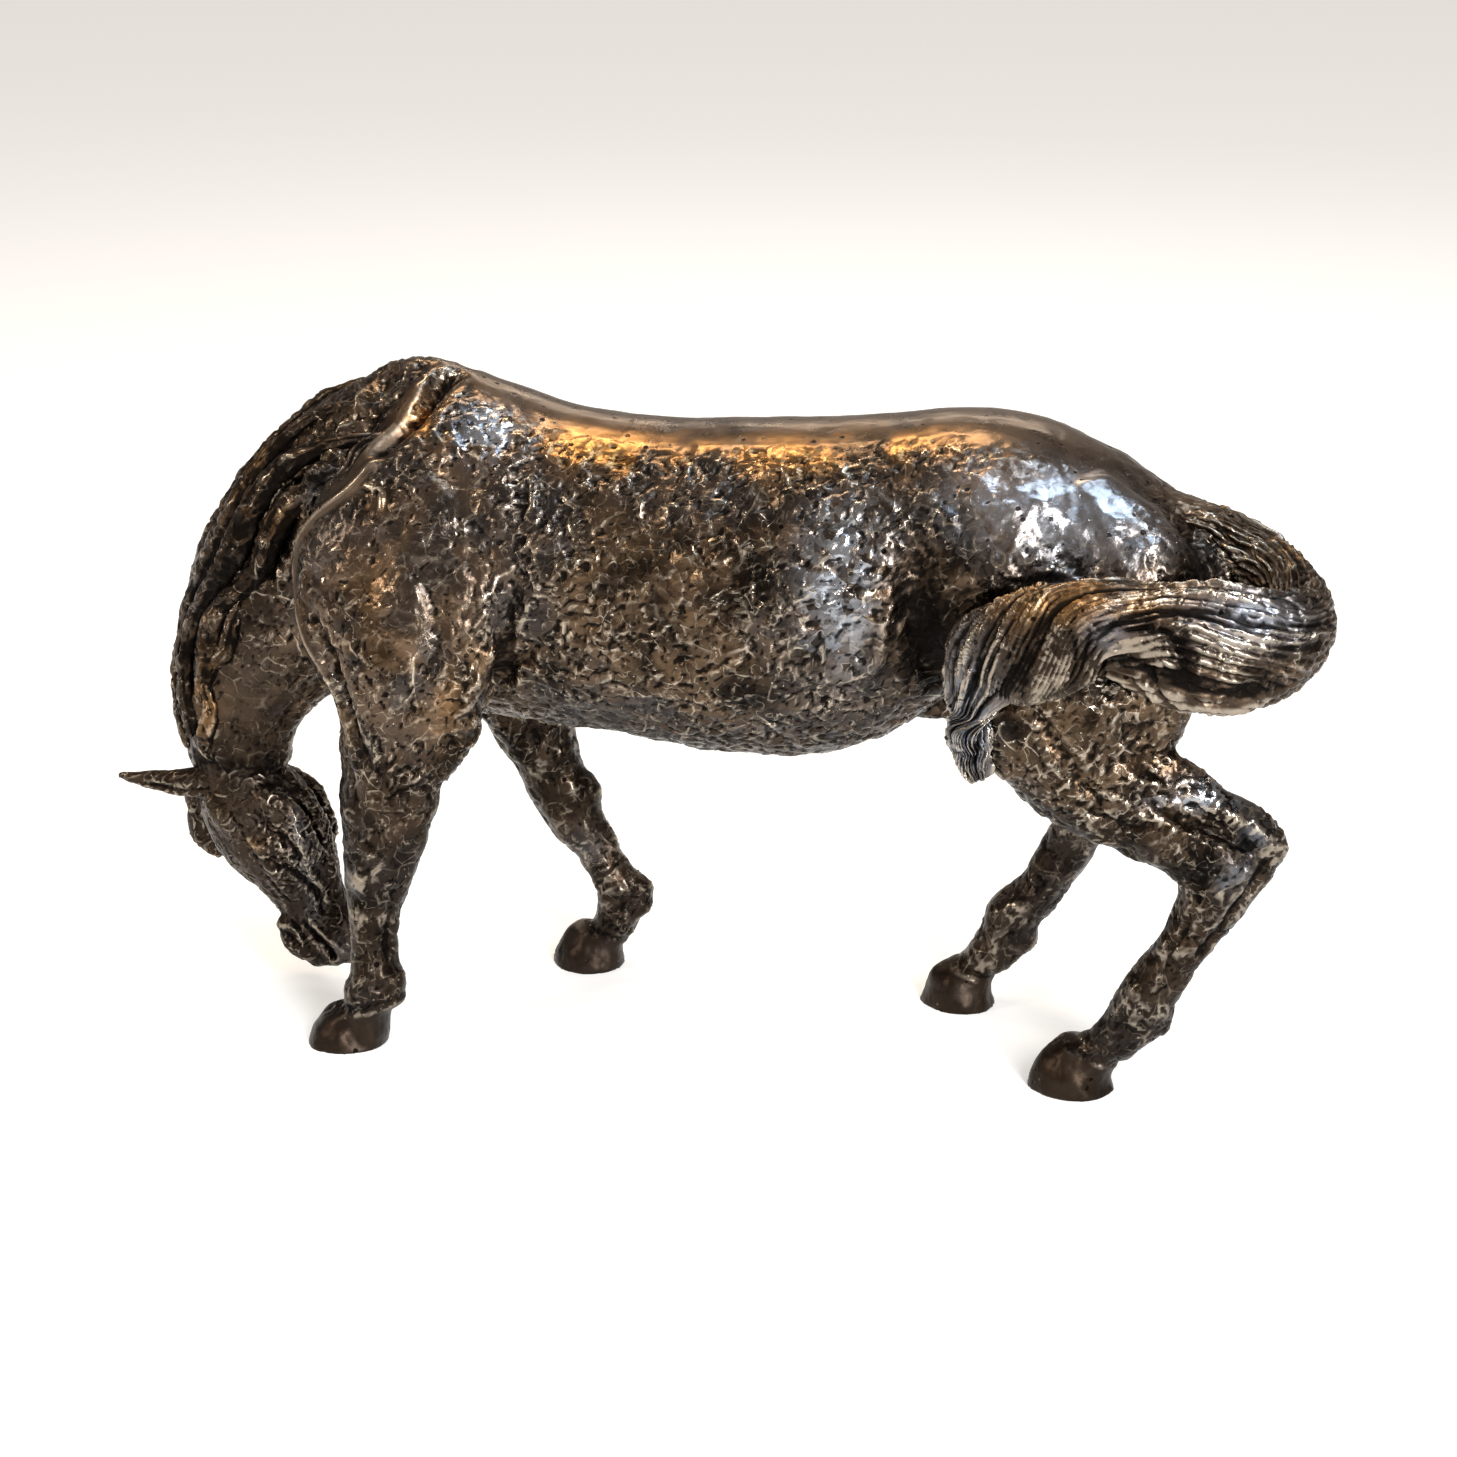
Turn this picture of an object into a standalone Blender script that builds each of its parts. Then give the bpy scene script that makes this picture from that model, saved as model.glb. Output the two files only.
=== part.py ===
"""Grazing horse: a standing horse cast in one piece, neck arched and muzzle near the ground.

The figure is built up the way it was modelled before casting: lofted masses for trunk, neck, head,
limbs and tail, muscles and locks of hair laid on, all run together into one skin, and the soles cut
flat where it stands. +Z is up, the head is towards -X, and the near side is -Y.
"""

import math

import bmesh
import bpy
from mathutils import Vector

# Driving dimension, in metres: from the tip of the ear to the back of the tail.
LENGTH = 0.506
# The figure is drawn in small units, and its length holds this many of them.
UNITS_IN_LENGTH = 506
UNIT = LENGTH / UNITS_IN_LENGTH

# The point of the floor under the figure's middle, in drawing units.
MIDDLE = Vector((-9.7, -9.9, 4.0))

# The run-together skin: its cell, its smoothing, and the share of its triangles that is kept.
SKIN_CELL = 1.4 * UNIT
SKIN_ROUNDS = 2
SKIN_RATIO = 0.0245

# The lofts: points round each oval, and ovals between two stations.
SIDES = 40
STEPS = 5
# A loft's domed end: how far round the dome each of its rings lies, as shares of a quarter turn.
DOME = (0.45, 0.8)
ACROSS = Vector((0, 1, 0))
UPRIGHT = Vector((0, 0, 1))

# Every mass is a row of stations (x, y, z, half depth, half width) in drawing units. Width lies
# across the horse, and depth is square to it and to the path. The trunk's ovals all stand upright.
TRUNK = (
    (-152, 0, 203, 38, 30),
    (-140, 0, 207, 59, 38),
    (-120, 0, 210, 73, 43),
    (-94, 0, 206, 70, 47),
    (-62, 0, 200.5, 66.5, 51),
    (-25, 0, 197.5, 66.5, 54),
    (10, 0, 197, 69, 56),
    (42, 0, 199.5, 68.5, 56),
    (68, 0, 206, 65, 54),
    (92, 0, 216, 58, 51),
    (120, 0, 222.5, 50.5, 50),
    (146, 0, 219.5, 44, 47),
    (170, 0, 215, 35, 40),
    (185, 0, 213.5, 25.5, 29),
)
NECK = (
    (-108, 0, 220, 60, 34),
    (-133, 0, 216, 62, 34),
    (-157, 0, 205, 53, 31),
    (-178, 0, 188, 42.5, 28),
    (-195, 0, 169, 35, 25.5),
    (-208, 0, 147, 29, 23.5),
    (-214, 0, 126, 23.5, 21),
    (-214, 0, 106, 21, 18),
)
HEAD = (
    (-216, 0, 106, 17, 15),
    (-212, 0, 93, 21, 18),
    (-205, 0, 80, 25, 18),
    (-196, 0, 67, 24, 16),
    (-189, 0, 54, 19, 13),
    (-184, 0, 43, 15.5, 11),
    (-180, 0, 33, 15, 11.5),
    (-177, 0, 26, 13, 11),
    (-175, 0, 21, 9, 8.5),
)
NEAR_FORE = (
    (-112, -26, 252, 26, 11),
    (-118, -32, 230, 42, 16),
    (-121, -36, 204, 49, 20),
    (-122, -39, 178, 42, 22),
    (-124, -42, 152, 31, 20),
    (-130, -44, 128, 22, 17),
    (-133, -46, 106, 20, 15.5),
    (-136, -47, 87, 16.5, 14),
    (-137, -48, 76, 15, 13),
    (-138.5, -49, 64, 11, 10),
    (-139.5, -50, 49, 9.8, 9),
    (-139.5, -51, 38, 10.5, 9.5),
    (-139.5, -52, 29, 12.5, 11.5),
    (-144, -52, 17, 9, 10),
)
NEAR_FORE_HOOF = (
    (-146, -52, 12, 10.5, 11.5),
    (-150, -52.5, 8, 15, 14.5),
    (-152, -53, -3, 17.5, 16.5),
)
FAR_FORE = (
    (-112, 26, 250, 26, 11),
    (-116, 32, 226, 40, 16),
    (-114, 36, 196, 44, 20),
    (-109, 38, 166, 36, 21),
    (-102, 39, 140, 26, 18),
    (-95, 40, 118, 18, 15),
    (-88, 41, 99, 14, 13),
    (-82, 42, 84, 14, 13),
    (-77, 43, 73, 12, 11.5),
    (-68, 43, 60, 8.8, 9),
    (-61, 44, 46, 9.2, 9),
    (-57, 45, 36, 11.5, 11),
    (-62, 45, 21, 8.5, 9.5),
)
FAR_FORE_HOOF = (
    (-67, 45, 15, 10, 11),
    (-71, 45.5, 10, 14.5, 14),
    (-73, 46, -3, 17, 16),
)
NEAR_HIND = (
    (138, -24, 240, 28, 16),
    (150, -30, 214, 42, 22),
    (149, -34, 190, 45, 25),
    (145, -37, 168, 40, 25),
    (151, -39, 148, 30, 22),
    (168, -40, 133, 22, 17),
    (187, -40, 121, 18, 14),
    (204, -40, 110, 16, 13),
    (203, -39, 96, 14, 12),
    (196, -38, 80, 11, 10),
    (188, -37, 64, 10.5, 9.5),
    (180, -36, 51, 11.5, 10.5),
    (175, -35, 39, 11.5, 11),
    (165, -34, 26, 9.5, 10.5),
)
NEAR_HIND_HOOF = (
    (157, -33, 18, 10.5, 11.5),
    (151, -32.5, 11, 16, 15.5),
    (149, -32, -3, 18.5, 17),
)
FAR_HIND = (
    (138, 24, 236, 28, 16),
    (146, 30, 210, 42, 22),
    (140, 34, 184, 42, 24),
    (129, 36, 160, 32, 21),
    (135, 38, 140, 22, 17),
    (148, 39, 123, 16.5, 14),
    (151, 39, 108, 15, 13),
    (145, 39, 93, 12, 11),
    (135, 39, 75, 10.5, 9.5),
    (126, 38.5, 58, 10, 9.5),
    (116, 38.5, 46, 11.5, 10.5),
    (111, 38.5, 34, 11, 10.5),
    (103, 38.5, 23, 9, 10),
)
FAR_HIND_HOOF = (
    (97, 38.5, 16, 10.5, 11.5),
    (94, 38.5, 10, 15, 14.5),
    (93, 38.5, -3, 17.5, 16),
)
# The tail hangs clear of the dock, swings out and round, and lies forward along the near thigh.
# Here the fourth figure is its half thickness, and the fifth its half height.
TAIL = (
    (176, 0, 231, 13, 11),
    (194, -2, 228, 14, 12),
    (209, -8, 220, 13, 14),
    (222, -18, 213, 13, 15),
    (229, -32, 207, 13, 16),
    (225, -46, 204, 13, 19),
    (211, -57, 203, 13, 23),
    (190, -63, 203, 13, 25),
    (168, -66, 205, 13, 23),
    (146, -67, 204, 12, 21),
    (127, -66, 200, 11, 20),
    (113, -63, 191, 9, 17),
    (107, -59, 174, 7, 10),
    (108, -57, 156, 6, 7),
    (110, -56, 146, 4, 4.5),
)

# Muscles, bones and folds laid on the masses of the near side.
NEAR_FORMS = (
    # shoulder blade with its front edge, point of shoulder, triceps and elbow
    ((-116, -30, 258, 7, 5), (-136, -37, 237, 8, 6), (-158, -42, 208, 8, 6), (-160, -42, 184, 8, 6)),
    ((-152, -36, 200, 16, 14), (-150, -39, 178, 18, 14), (-144, -41, 158, 12, 11)),
    ((-88, -41, 212, 12, 9), (-98, -45, 190, 16, 10), (-105, -46, 168, 16, 11), (-104, -46, 148, 12, 10)),
    ((-101, -45, 144, 9, 8), (-114, -45, 126, 9, 8)),
    # knee, the bone behind it, and the ergot
    ((-141, -48, 86, 9, 10), (-142, -48, 76, 9, 10)),
    ((-127, -48, 90, 5, 6), (-127, -48, 81, 6, 6)),
    ((-130, -52, 34, 5, 7), (-130, -52, 27, 5, 7)),
    # point of hip, haunch, thigh and the fold of the flank
    ((96, -34, 243, 11, 8), (114, -37, 238, 13, 8), (134, -38, 227, 12, 8)),
    ((152, -34, 226, 18, 12), (170, -34, 212, 18, 13), (180, -37, 192, 15, 13), (174, -40, 164, 14, 12)),
    ((98, -40, 200, 8, 7), (106, -43, 182, 11, 10), (117, -45, 166, 14, 13), (124, -46, 151, 12, 11)),
    ((132, -48, 160, 12, 10), (152, -49, 147, 12, 9), (174, -47, 132, 9, 7)),
    # point of hock and the cord that runs up from it, hock joint, ergot
    ((178, -41, 150, 7, 7), (200, -41, 135, 7, 7), (216, -40, 125, 8, 7), (223, -40, 118, 7, 7)),
    ((223, -40, 117, 7, 7), (217, -39, 105, 7, 7), (206, -38, 86, 5, 6)),
    ((185, -36, 46, 6, 7), (182, -36, 37, 7, 7)),
)
FAR_FORMS = (
    ((-116, 30, 256, 7, 5), (-136, 37, 235, 8, 6), (-156, 42, 206, 8, 6), (-157, 42, 182, 8, 6)),
    ((-150, 36, 196, 16, 14), (-144, 39, 174, 18, 14), (-134, 41, 154, 12, 11)),
    ((-86, 41, 208, 12, 9), (-94, 45, 186, 16, 10), (-98, 46, 162, 15, 11), (-92, 45, 142, 10, 9)),
    ((-87, 42, 92, 8, 9), (-85, 42, 80, 8, 9)),
    ((-74, 42, 92, 5, 6), (-71, 42, 85, 6, 6)),
    ((-48, 45, 40, 5, 7), (-48, 45, 33, 5, 7)),
    ((96, 34, 243, 11, 8), (114, 37, 238, 13, 8), (134, 38, 225, 12, 8)),
    ((150, 34, 220, 18, 12), (164, 34, 206, 18, 13), (170, 38, 188, 15, 13), (162, 40, 164, 14, 12)),
    ((98, 40, 200, 8, 7), (102, 43, 180, 11, 10), (109, 44, 164, 13, 12), (114, 45, 149, 11, 11)),
    ((144, 40, 142, 7, 7), (156, 40, 128, 7, 7), (163, 39, 118, 6, 6.5)),
    ((163, 39, 117, 6, 6.5), (158, 39, 106, 6, 6.5), (147, 39, 88, 5, 6)),
    ((121, 38, 42, 5, 7), (121, 38, 35, 5, 7)),
)
MIDDLE_FORMS = (
    # withers, breast, and sheath
    ((-150, 0, 262, 12, 9), (-126, 0, 274, 11, 9), (-100, 0, 265, 10, 10), (-74, 0, 254, 9, 10)),
    ((-158, -16, 176, 16, 15), (-152, -17, 158, 15, 15), (-138, -20, 146, 12, 12)),
    ((-156, 16, 176, 16, 15), (-148, 17, 158, 15, 15), (-132, 20, 146, 12, 12)),
    ((76, 0, 157, 8, 8), (88, -2, 154, 8, 7), (97, -3, 157, 5, 5)),
    # windpipe
    ((-158, 0, 158, 12, 12), (-178, 0, 144, 9, 10), (-194, 0, 123, 7, 9), (-197, 0, 107, 6, 8)),
)
HEAD_FORMS = (
    # cheeks
    ((-202, -12, 89, 13, 8), (-193, -12, 79, 15, 8), (-184, -10, 68, 11, 7)),
    ((-202, 12, 89, 13, 8), (-193, 12, 79, 15, 8), (-184, 10, 68, 11, 7)),
    # brows and the bones under the eyes
    ((-221, -12, 92, 6, 5), (-216, -15, 84, 6, 5), (-208, -14, 76, 5, 4)),
    ((-221, 12, 92, 6, 5), (-216, 15, 84, 6, 5), (-208, 14, 76, 5, 4)),
    ((-203, -15, 77, 4, 4), (-196, -14, 63, 4, 4), (-190, -11, 51, 3, 3)),
    ((-203, 15, 77, 4, 4), (-196, 14, 63, 4, 4), (-190, 11, 51, 3, 3)),
    # eyes, nostrils, upper lip, lower lip and chin
    ((-199, -13.5, 69, 3.5, 4.5), (-195, -14, 64, 3.5, 4.5)),
    ((-199, 13.5, 69, 3.5, 4.5), (-195, 14, 64, 3.5, 4.5)),
    ((-193, -7, 34, 5, 4), (-189, -8, 26, 6, 5), (-184, -6, 21, 5, 5)),
    ((-193, 7, 34, 5, 4), (-189, 8, 26, 6, 5), (-184, 6, 21, 5, 5)),
    ((-186, 0, 26, 8, 9), (-182, 0, 19, 7, 9)),
    ((-172, 0, 34, 8, 8), (-169, 0, 24, 7, 8), (-168, 0, 19, 5, 6)),
)
NEAR_EAR = (
    (-220, -9, 99, 7, 6),
    (-232, -11, 97, 6.5, 5),
    (-244, -12, 97, 5, 3.5),
    (-256, -13, 98, 3, 2.4),
    (-263, -13, 98.5, 1.6, 1.6),
)
FAR_EAR = (
    (-222, 10, 96, 6, 5),
    (-234, 14, 85, 8, 6),
    (-240, 17, 71, 8, 6),
    (-239, 18, 60, 6.5, 5),
    (-232, 18, 52, 3, 3),
)

# Locks of the mane: where along the neck each starts and ends, counted in stations, how far round
# from the crest it lies at start and end, in degrees with the near side positive, and its half width.
# Each snakes from side to side as it goes, and rides this share of the neck's oval out from its middle.
LOCKS = (
    (0.2, 6.9, 2, 6, 6.5),
    (0.5, 6.8, 20, 22, 6.5),
    (0.7, 6.5, 36, 40, 6.5),
    (0.9, 5.8, 52, 58, 6.0),
    (0.5, 4.2, 66, 76, 5.5),
    (4.0, 6.9, 40, 62, 5.0),
    (0.5, 6.7, -16, -15, 6.5),
    (0.7, 6.4, -34, -34, 6.5),
    (0.9, 5.4, -52, -55, 6.0),
    (0.6, 3.8, -68, -76, 5.0),
)
LOCK_POINTS = 13
LOCK_WAVE = 4.0
LOCK_WAVES = 2.5
LOCK_RIDE = 0.99

# Ropes of hair round the tail: their count, their turn along it in degrees, and their sizes as
# shares of the tail's own thickness and height.
ROPES = 10
ROPE_TWIST = 75
ROPE_RIDE = 0.8
ROPE_SIZE = 0.25
ROPE_POINTS = 27

# Grooves and hollows cut back into the skin, as rows of stations like the masses.
HOLLOWS = (
    # between withers and shoulder blade, and between the great locks of the mane
    ((-110, -14, 283, 3, 3), (-121, -27, 271, 5, 4.5), (-134, -39, 254, 3.5, 3.5)),
    ((-166, -27, 249, 3, 3), (-174, -33, 228, 6, 5), (-186, -33, 202, 4, 4)),
    ((-196, -26, 224, 3, 3), (-208, -28, 196, 4, 3.5), (-221, -22, 169, 3, 3)),
    ((-110, 14, 283, 3, 3), (-121, 27, 271, 5, 4.5), (-134, 39, 254, 3.5, 3.5)),
    ((-170, 30, 240, 3, 3), (-184, 34, 210, 5, 4.5), (-198, 29, 180, 3, 3)),
    # temples, grooves of the jowl, nostrils and the open mouth
    ((-204, -22, 93, 5, 5), (-196, -23, 83, 6, 5)),
    ((-204, 22, 93, 5, 5), (-196, 23, 83, 6, 5)),
    ((-190, -21, 90, 3, 3.5), (-185, -20.5, 80, 3.5, 4.5), (-181, -18, 69, 3, 3.5)),
    ((-190, 21, 90, 3, 3.5), (-185, 20.5, 80, 3.5, 4.5), (-181, 18, 69, 3, 3.5)),
    ((-193, -13, 33, 2.5, 4), (-190, -14, 28, 3, 4.5)),
    ((-193, 13, 33, 2.5, 4), (-190, 14, 28, 3, 4.5)),
    ((-183, 0, 36, 1.6, 16), (-178.5, 0, 27, 2, 16), (-175, 0, 14, 3, 16)),
    # breast and forearm, back edge of the shoulder, flank, thigh
    ((-158, -55, 181, 3, 3), (-149, -58, 164, 4, 4), (-137, -63, 148, 4, 4), (-130, -63, 137, 2.5, 2.5)),
    ((-148, 57, 172, 3, 3), (-138, 60, 156, 4, 4), (-122, 61, 138, 3, 3)),
    ((-73, -41, 250, 3, 3), (-72, -50, 225, 4, 4), (-77, -53, 196, 4, 4), (-88, -52, 166, 3, 3)),
    ((-73, 41, 250, 3, 3), (-71, 50, 225, 4, 4), (-74, 53, 196, 4, 4), (-80, 52, 166, 3, 3)),
    ((76, -61, 234, 9, 9), (84, -61, 208, 11, 10), (90, -53, 182, 7, 7)),
    ((76, 61, 234, 9, 9), (84, 61, 208, 11, 10), (90, 53, 182, 7, 7)),
    ((142, -64, 158, 3, 3), (165, -61, 147, 4, 3.5), (192, -56, 130, 3, 3)),
    ((120, 60, 172, 3, 3), (133, 60, 152, 4, 3.5), (146, 54, 134, 3, 3)),
)

FORELOCK = (
    ((-224, -6, 102, 5, 5), (-234, -5, 93, 4.5, 4), (-236, -4, 80, 2, 2)),
    ((-226, 2, 100, 5, 5), (-237, 4, 89, 4.5, 4), (-239, 6, 76, 2, 2)),
    ((-222, 8, 98, 5, 5), (-235, 10, 88, 4, 4), (-241, 11, 77, 2.5, 2.5)),
)

METAL_COLOUR = (0.16, 0.14, 0.12, 1.0)
METAL_ROUGHNESS = 0.35


def station(stations, at):
    """The station at this count along the row, on a curve that passes through them all."""
    whole = min(int(at), len(stations) - 2)
    part = at - whole
    before, start, end, after = (
        Vector(stations[min(max(whole + shift, 0), len(stations) - 1)]) for shift in (-1, 0, 1, 2)
    )
    return 0.5 * (
        2 * start
        + (end - before) * part
        + (2 * before - 5 * start + 4 * end - after) * part**2
        + (3 * start - before - 3 * end + after) * part**3
    )


def directions(stations, at, beside, upright=False):
    """The path's direction at this count, and the two directions square to it."""
    nudge = 0.1
    ahead = station(stations, min(at + nudge, len(stations) - 1))
    behind = station(stations, max(at - nudge, 0))
    along = (ahead - behind).to_3d()
    if upright:
        along.z = 0
    along.normalize()
    side = (beside - beside.dot(along) * along).normalized()
    return along, side, along.cross(side)


def ring(bm, centre, side, lift, depth, width):
    """One oval ring of points round a centre."""
    points = []
    for k in range(SIDES):
        turn = math.tau * k / SIDES
        place = centre + side * width * math.cos(turn) + lift * depth * math.sin(turn)
        points.append(bm.verts.new(UNIT * (place - MIDDLE)))
    return points


def loft(bm, stations, beside=ACROSS, upright=False):
    """A closed oval tube through the stations, with domed ends, and upright ovals where asked."""
    count = (len(stations) - 1) * STEPS
    rings = []
    for k in range(count + 1):
        row = station(stations, k / STEPS)
        along, side, lift = directions(stations, k / STEPS, beside, upright)
        rings.append(ring(bm, row.to_3d(), side, lift, row[3], row[4]))
        if 0 < k < count:
            continue
        way = -1 if k == 0 else 1
        for share in DOME:
            shrink = math.cos(share * math.pi / 2)
            reach = way * min(row[3], row[4]) * math.sin(share * math.pi / 2)
            loop = ring(bm, row.to_3d() + along * reach, side, lift, row[3] * shrink, row[4] * shrink)
            rings.insert(0 if k == 0 else len(rings), loop)
    for low, high in zip(rings, rings[1:]):
        for k in range(SIDES):
            after = (k + 1) % SIDES
            bm.faces.new((low[k], low[after], high[after], high[k]))
    bm.faces.new(rings[0][::-1])
    bm.faces.new(rings[-1])


def spread(start, end, share):
    """The value at this share of the way from start to end."""
    return start + (end - start) * share


def tapered(share):
    """A strand's thickness along its length: full in the middle, thin at its tips."""
    return 0.35 + 0.65 * math.sin(math.pi * share) ** 0.6


def lock(bm, start, end, start_turn, end_turn, half_width):
    """A lock of the mane, laid along the neck between two stations and round to one side of the crest."""
    rows = []
    for k in range(LOCK_POINTS):
        share = k / (LOCK_POINTS - 1)
        at = spread(start, end, share)
        row = station(NECK, at)
        along, side, lift = directions(NECK, at, ACROSS)
        snake = LOCK_WAVE * math.sin(math.tau * LOCK_WAVES * share + start)
        turn = math.radians(spread(start_turn, end_turn, share) + snake)
        around, out = math.sin(turn), math.cos(turn)
        middle = row.to_3d() - LOCK_RIDE * (side * row[4] * around + lift * row[3] * out)
        rows.append((*middle, half_width * tapered(share), half_width * tapered(share)))
    loft(bm, rows)


def rope(bm, first_turn):
    """One rope of hair, running round the tail from its root to its tip."""
    rows = []
    for k in range(ROPE_POINTS):
        share = k / (ROPE_POINTS - 1)
        at = share * (len(TAIL) - 1)
        row = station(TAIL, at)
        along, side, lift = directions(TAIL, at, UPRIGHT)
        turn = math.radians(first_turn + ROPE_TWIST * share)
        middle = row.to_3d() + ROPE_RIDE * (side * row[4] * math.cos(turn) + lift * row[3] * math.sin(turn))
        rows.append((*middle, row[3] * ROPE_SIZE, row[4] * ROPE_SIZE))
    loft(bm, rows, UPRIGHT)


def masses(bm):
    """Every loft of the figure, run into one another."""
    loft(bm, TRUNK, upright=True)
    body = (NECK, HEAD, NEAR_EAR, FAR_EAR)
    legs = (NEAR_FORE, FAR_FORE, NEAR_HIND, FAR_HIND)
    hooves = (NEAR_FORE_HOOF, FAR_FORE_HOOF, NEAR_HIND_HOOF, FAR_HIND_HOOF)
    forms = (*NEAR_FORMS, *FAR_FORMS, *MIDDLE_FORMS, *HEAD_FORMS, *FORELOCK)
    for stations in (*body, *legs, *hooves, *forms):
        loft(bm, stations)
    loft(bm, [(x, y, z, depth * ROPE_RIDE, width * ROPE_RIDE) for x, y, z, depth, width in TAIL], UPRIGHT)
    for values in LOCKS:
        lock(bm, *values)
    for k in range(ROPES):
        rope(bm, 360 * k / ROPES)


def placed(bm, name):
    """An object made from this mesh, with its faces turned outward."""
    bmesh.ops.recalc_face_normals(bm, faces=bm.faces)
    data = bpy.data.meshes.new(name)
    bm.to_mesh(data)
    bm.free()
    thing = bpy.data.objects.new(name, data)
    bpy.context.scene.collection.objects.link(thing)
    return thing


def cutter(bm, name):
    """An object that only cuts another and isn't seen itself."""
    block = placed(bm, name)
    block.hide_render = True
    block.display_type = "WIRE"
    return block


def floor_block():
    """The block below the floor that cuts the soles flat."""
    reach, depth = 1.4 * LENGTH, 0.1 * LENGTH
    bm = bmesh.new()
    bmesh.ops.create_cube(bm, size=1.0)
    bmesh.ops.scale(bm, vec=(reach, reach, depth), verts=bm.verts)
    bmesh.ops.translate(bm, vec=(0, 0, -depth / 2), verts=bm.verts)
    return cutter(bm, "floor_cut")


def hollows():
    """The bodies that cut the grooves and hollows."""
    bm = bmesh.new()
    for stations in HOLLOWS:
        loft(bm, stations)
    return cutter(bm, "hollows_cut")


def cut_away(thing, name, block):
    """Cut this block away from the object."""
    change = thing.modifiers.new(name, "BOOLEAN")
    change.operation = "DIFFERENCE"
    change.object = block


def metal():
    """The dark, silvery metal of the casting."""
    material = bpy.data.materials.new("patinated_metal")
    material.use_nodes = True
    shader = material.node_tree.nodes["Principled BSDF"]
    shader.inputs["Base Color"].default_value = METAL_COLOUR
    shader.inputs["Roughness"].default_value = METAL_ROUGHNESS
    shader.inputs["Metallic"].default_value = 1.0
    return material


def run_together(thing, name):
    """Make one closed skin of even facets from everything in the object."""
    skin = thing.modifiers.new(name, "REMESH")
    skin.mode = "VOXEL"
    skin.voxel_size = SKIN_CELL
    skin.use_smooth_shade = True


def figure():
    """The whole horse as one closed skin."""
    bm = bmesh.new()
    masses(bm)
    horse = placed(bm, "horse")
    horse.data.materials.append(metal())
    run_together(horse, "one_skin")
    cut_away(horse, "grooves", hollows())
    run_together(horse, "even_skin")
    soften = horse.modifiers.new("soften", "SMOOTH")
    soften.factor = 0.5
    soften.iterations = SKIN_ROUNDS
    thin = horse.modifiers.new("thin_out", "DECIMATE")
    thin.ratio = SKIN_RATIO
    cut_away(horse, "flat_soles", floor_block())
    return horse


for old in list(bpy.data.objects):
    bpy.data.objects.remove(old)
figure()
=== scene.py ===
"""Grazing horse: a hollow casting in dark bronze, rubbed bright and silvery where it stands proud.

The figure is built in the order in which it was modelled: trunk, neck, legs, head, mane and tail.
Tables are drawn in small units, the horse's length holding 506 of them, and are turned into metres
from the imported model's box. +Z is up, the head is towards -X, and the near side is -Y.
"""

import math

import bpy
import numpy as np
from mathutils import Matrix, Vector


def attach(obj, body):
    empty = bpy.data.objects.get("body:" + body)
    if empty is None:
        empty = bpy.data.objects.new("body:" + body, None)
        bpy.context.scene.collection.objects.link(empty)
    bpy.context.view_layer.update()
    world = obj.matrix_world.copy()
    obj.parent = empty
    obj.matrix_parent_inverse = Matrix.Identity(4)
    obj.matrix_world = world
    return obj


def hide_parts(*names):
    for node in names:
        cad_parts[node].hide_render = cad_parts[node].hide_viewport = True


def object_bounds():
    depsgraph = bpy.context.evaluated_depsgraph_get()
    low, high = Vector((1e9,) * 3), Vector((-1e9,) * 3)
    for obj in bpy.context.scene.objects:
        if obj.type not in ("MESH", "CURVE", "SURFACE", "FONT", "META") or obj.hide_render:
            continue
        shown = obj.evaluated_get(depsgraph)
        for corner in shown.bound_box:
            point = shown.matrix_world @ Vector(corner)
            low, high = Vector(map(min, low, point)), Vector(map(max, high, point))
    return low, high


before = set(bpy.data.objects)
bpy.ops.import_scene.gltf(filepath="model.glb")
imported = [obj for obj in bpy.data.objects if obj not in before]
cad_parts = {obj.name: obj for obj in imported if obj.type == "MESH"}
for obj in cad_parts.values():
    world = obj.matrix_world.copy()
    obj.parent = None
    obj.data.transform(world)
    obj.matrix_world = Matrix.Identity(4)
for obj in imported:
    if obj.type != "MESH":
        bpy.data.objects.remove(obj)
cad_low, cad_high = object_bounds()

# The set round the figure: a plain pale floor, a warm and a cool soft light overhead, a tall one beside
# the camera, a window's light from the left and a thin one from behind. The camera stands where the
# photographer stood, a little above the horse's back and turned a little towards its tail.
IMAGE_SIDE = 1457
FOCAL_PIXELS = 3164.2
SENSOR = 36.0
CAMERA_DISTANCE = 1.3
CAMERA_TURN = math.radians(12)
CAMERA_RISE = math.radians(20)
CAMERA_TARGET = Vector((0.0097, 0.0099, 0.131))
FLOOR_REACH = 14.0
FLOOR_COLOUR = (0.80, 0.80, 0.79, 1.0)
FLOOR_ROUGHNESS = 0.9
FLOOR_GLOW = 0.50
WORLD_COLOUR = (0.42, 0.37, 0.33, 1.0)
# Each light: place, point it faces, width, height, watts, colour.
LIGHTS = {
    "overhead_warm": ((-0.32, 0.28, 1.5), (-0.05, 0.0, 0.2), 0.8, 0.16, 9.0, (1.0, 0.80, 0.58)),
    "overhead_cool": ((0.42, -0.15, 1.5), (0.12, 0.0, 0.2), 0.66, 0.6, 9.5, (0.62, 0.80, 1.0)),
    "beside_camera": ((1.06, -1.38, 0.85), (0.05, 0.0, 0.18), 0.42, 1.3, 46.0, (0.95, 0.97, 1.0)),
    "left_window": ((-1.3, -0.9, 0.9), (-0.1, 0.0, 0.15), 0.2, 0.6, 8.0, (1.0, 0.90, 0.78)),
    "behind": ((0.0, 1.5, 1.2), (0.0, 0.0, 0.2), 0.9, 0.05, 4.0, (1.0, 0.93, 0.82)),
}


def linked(name, data):
    """An object that holds this mesh, lamp or camera, put in the scene."""
    thing = bpy.data.objects.new(name, data)
    bpy.context.scene.collection.objects.link(thing)
    return thing


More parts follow.
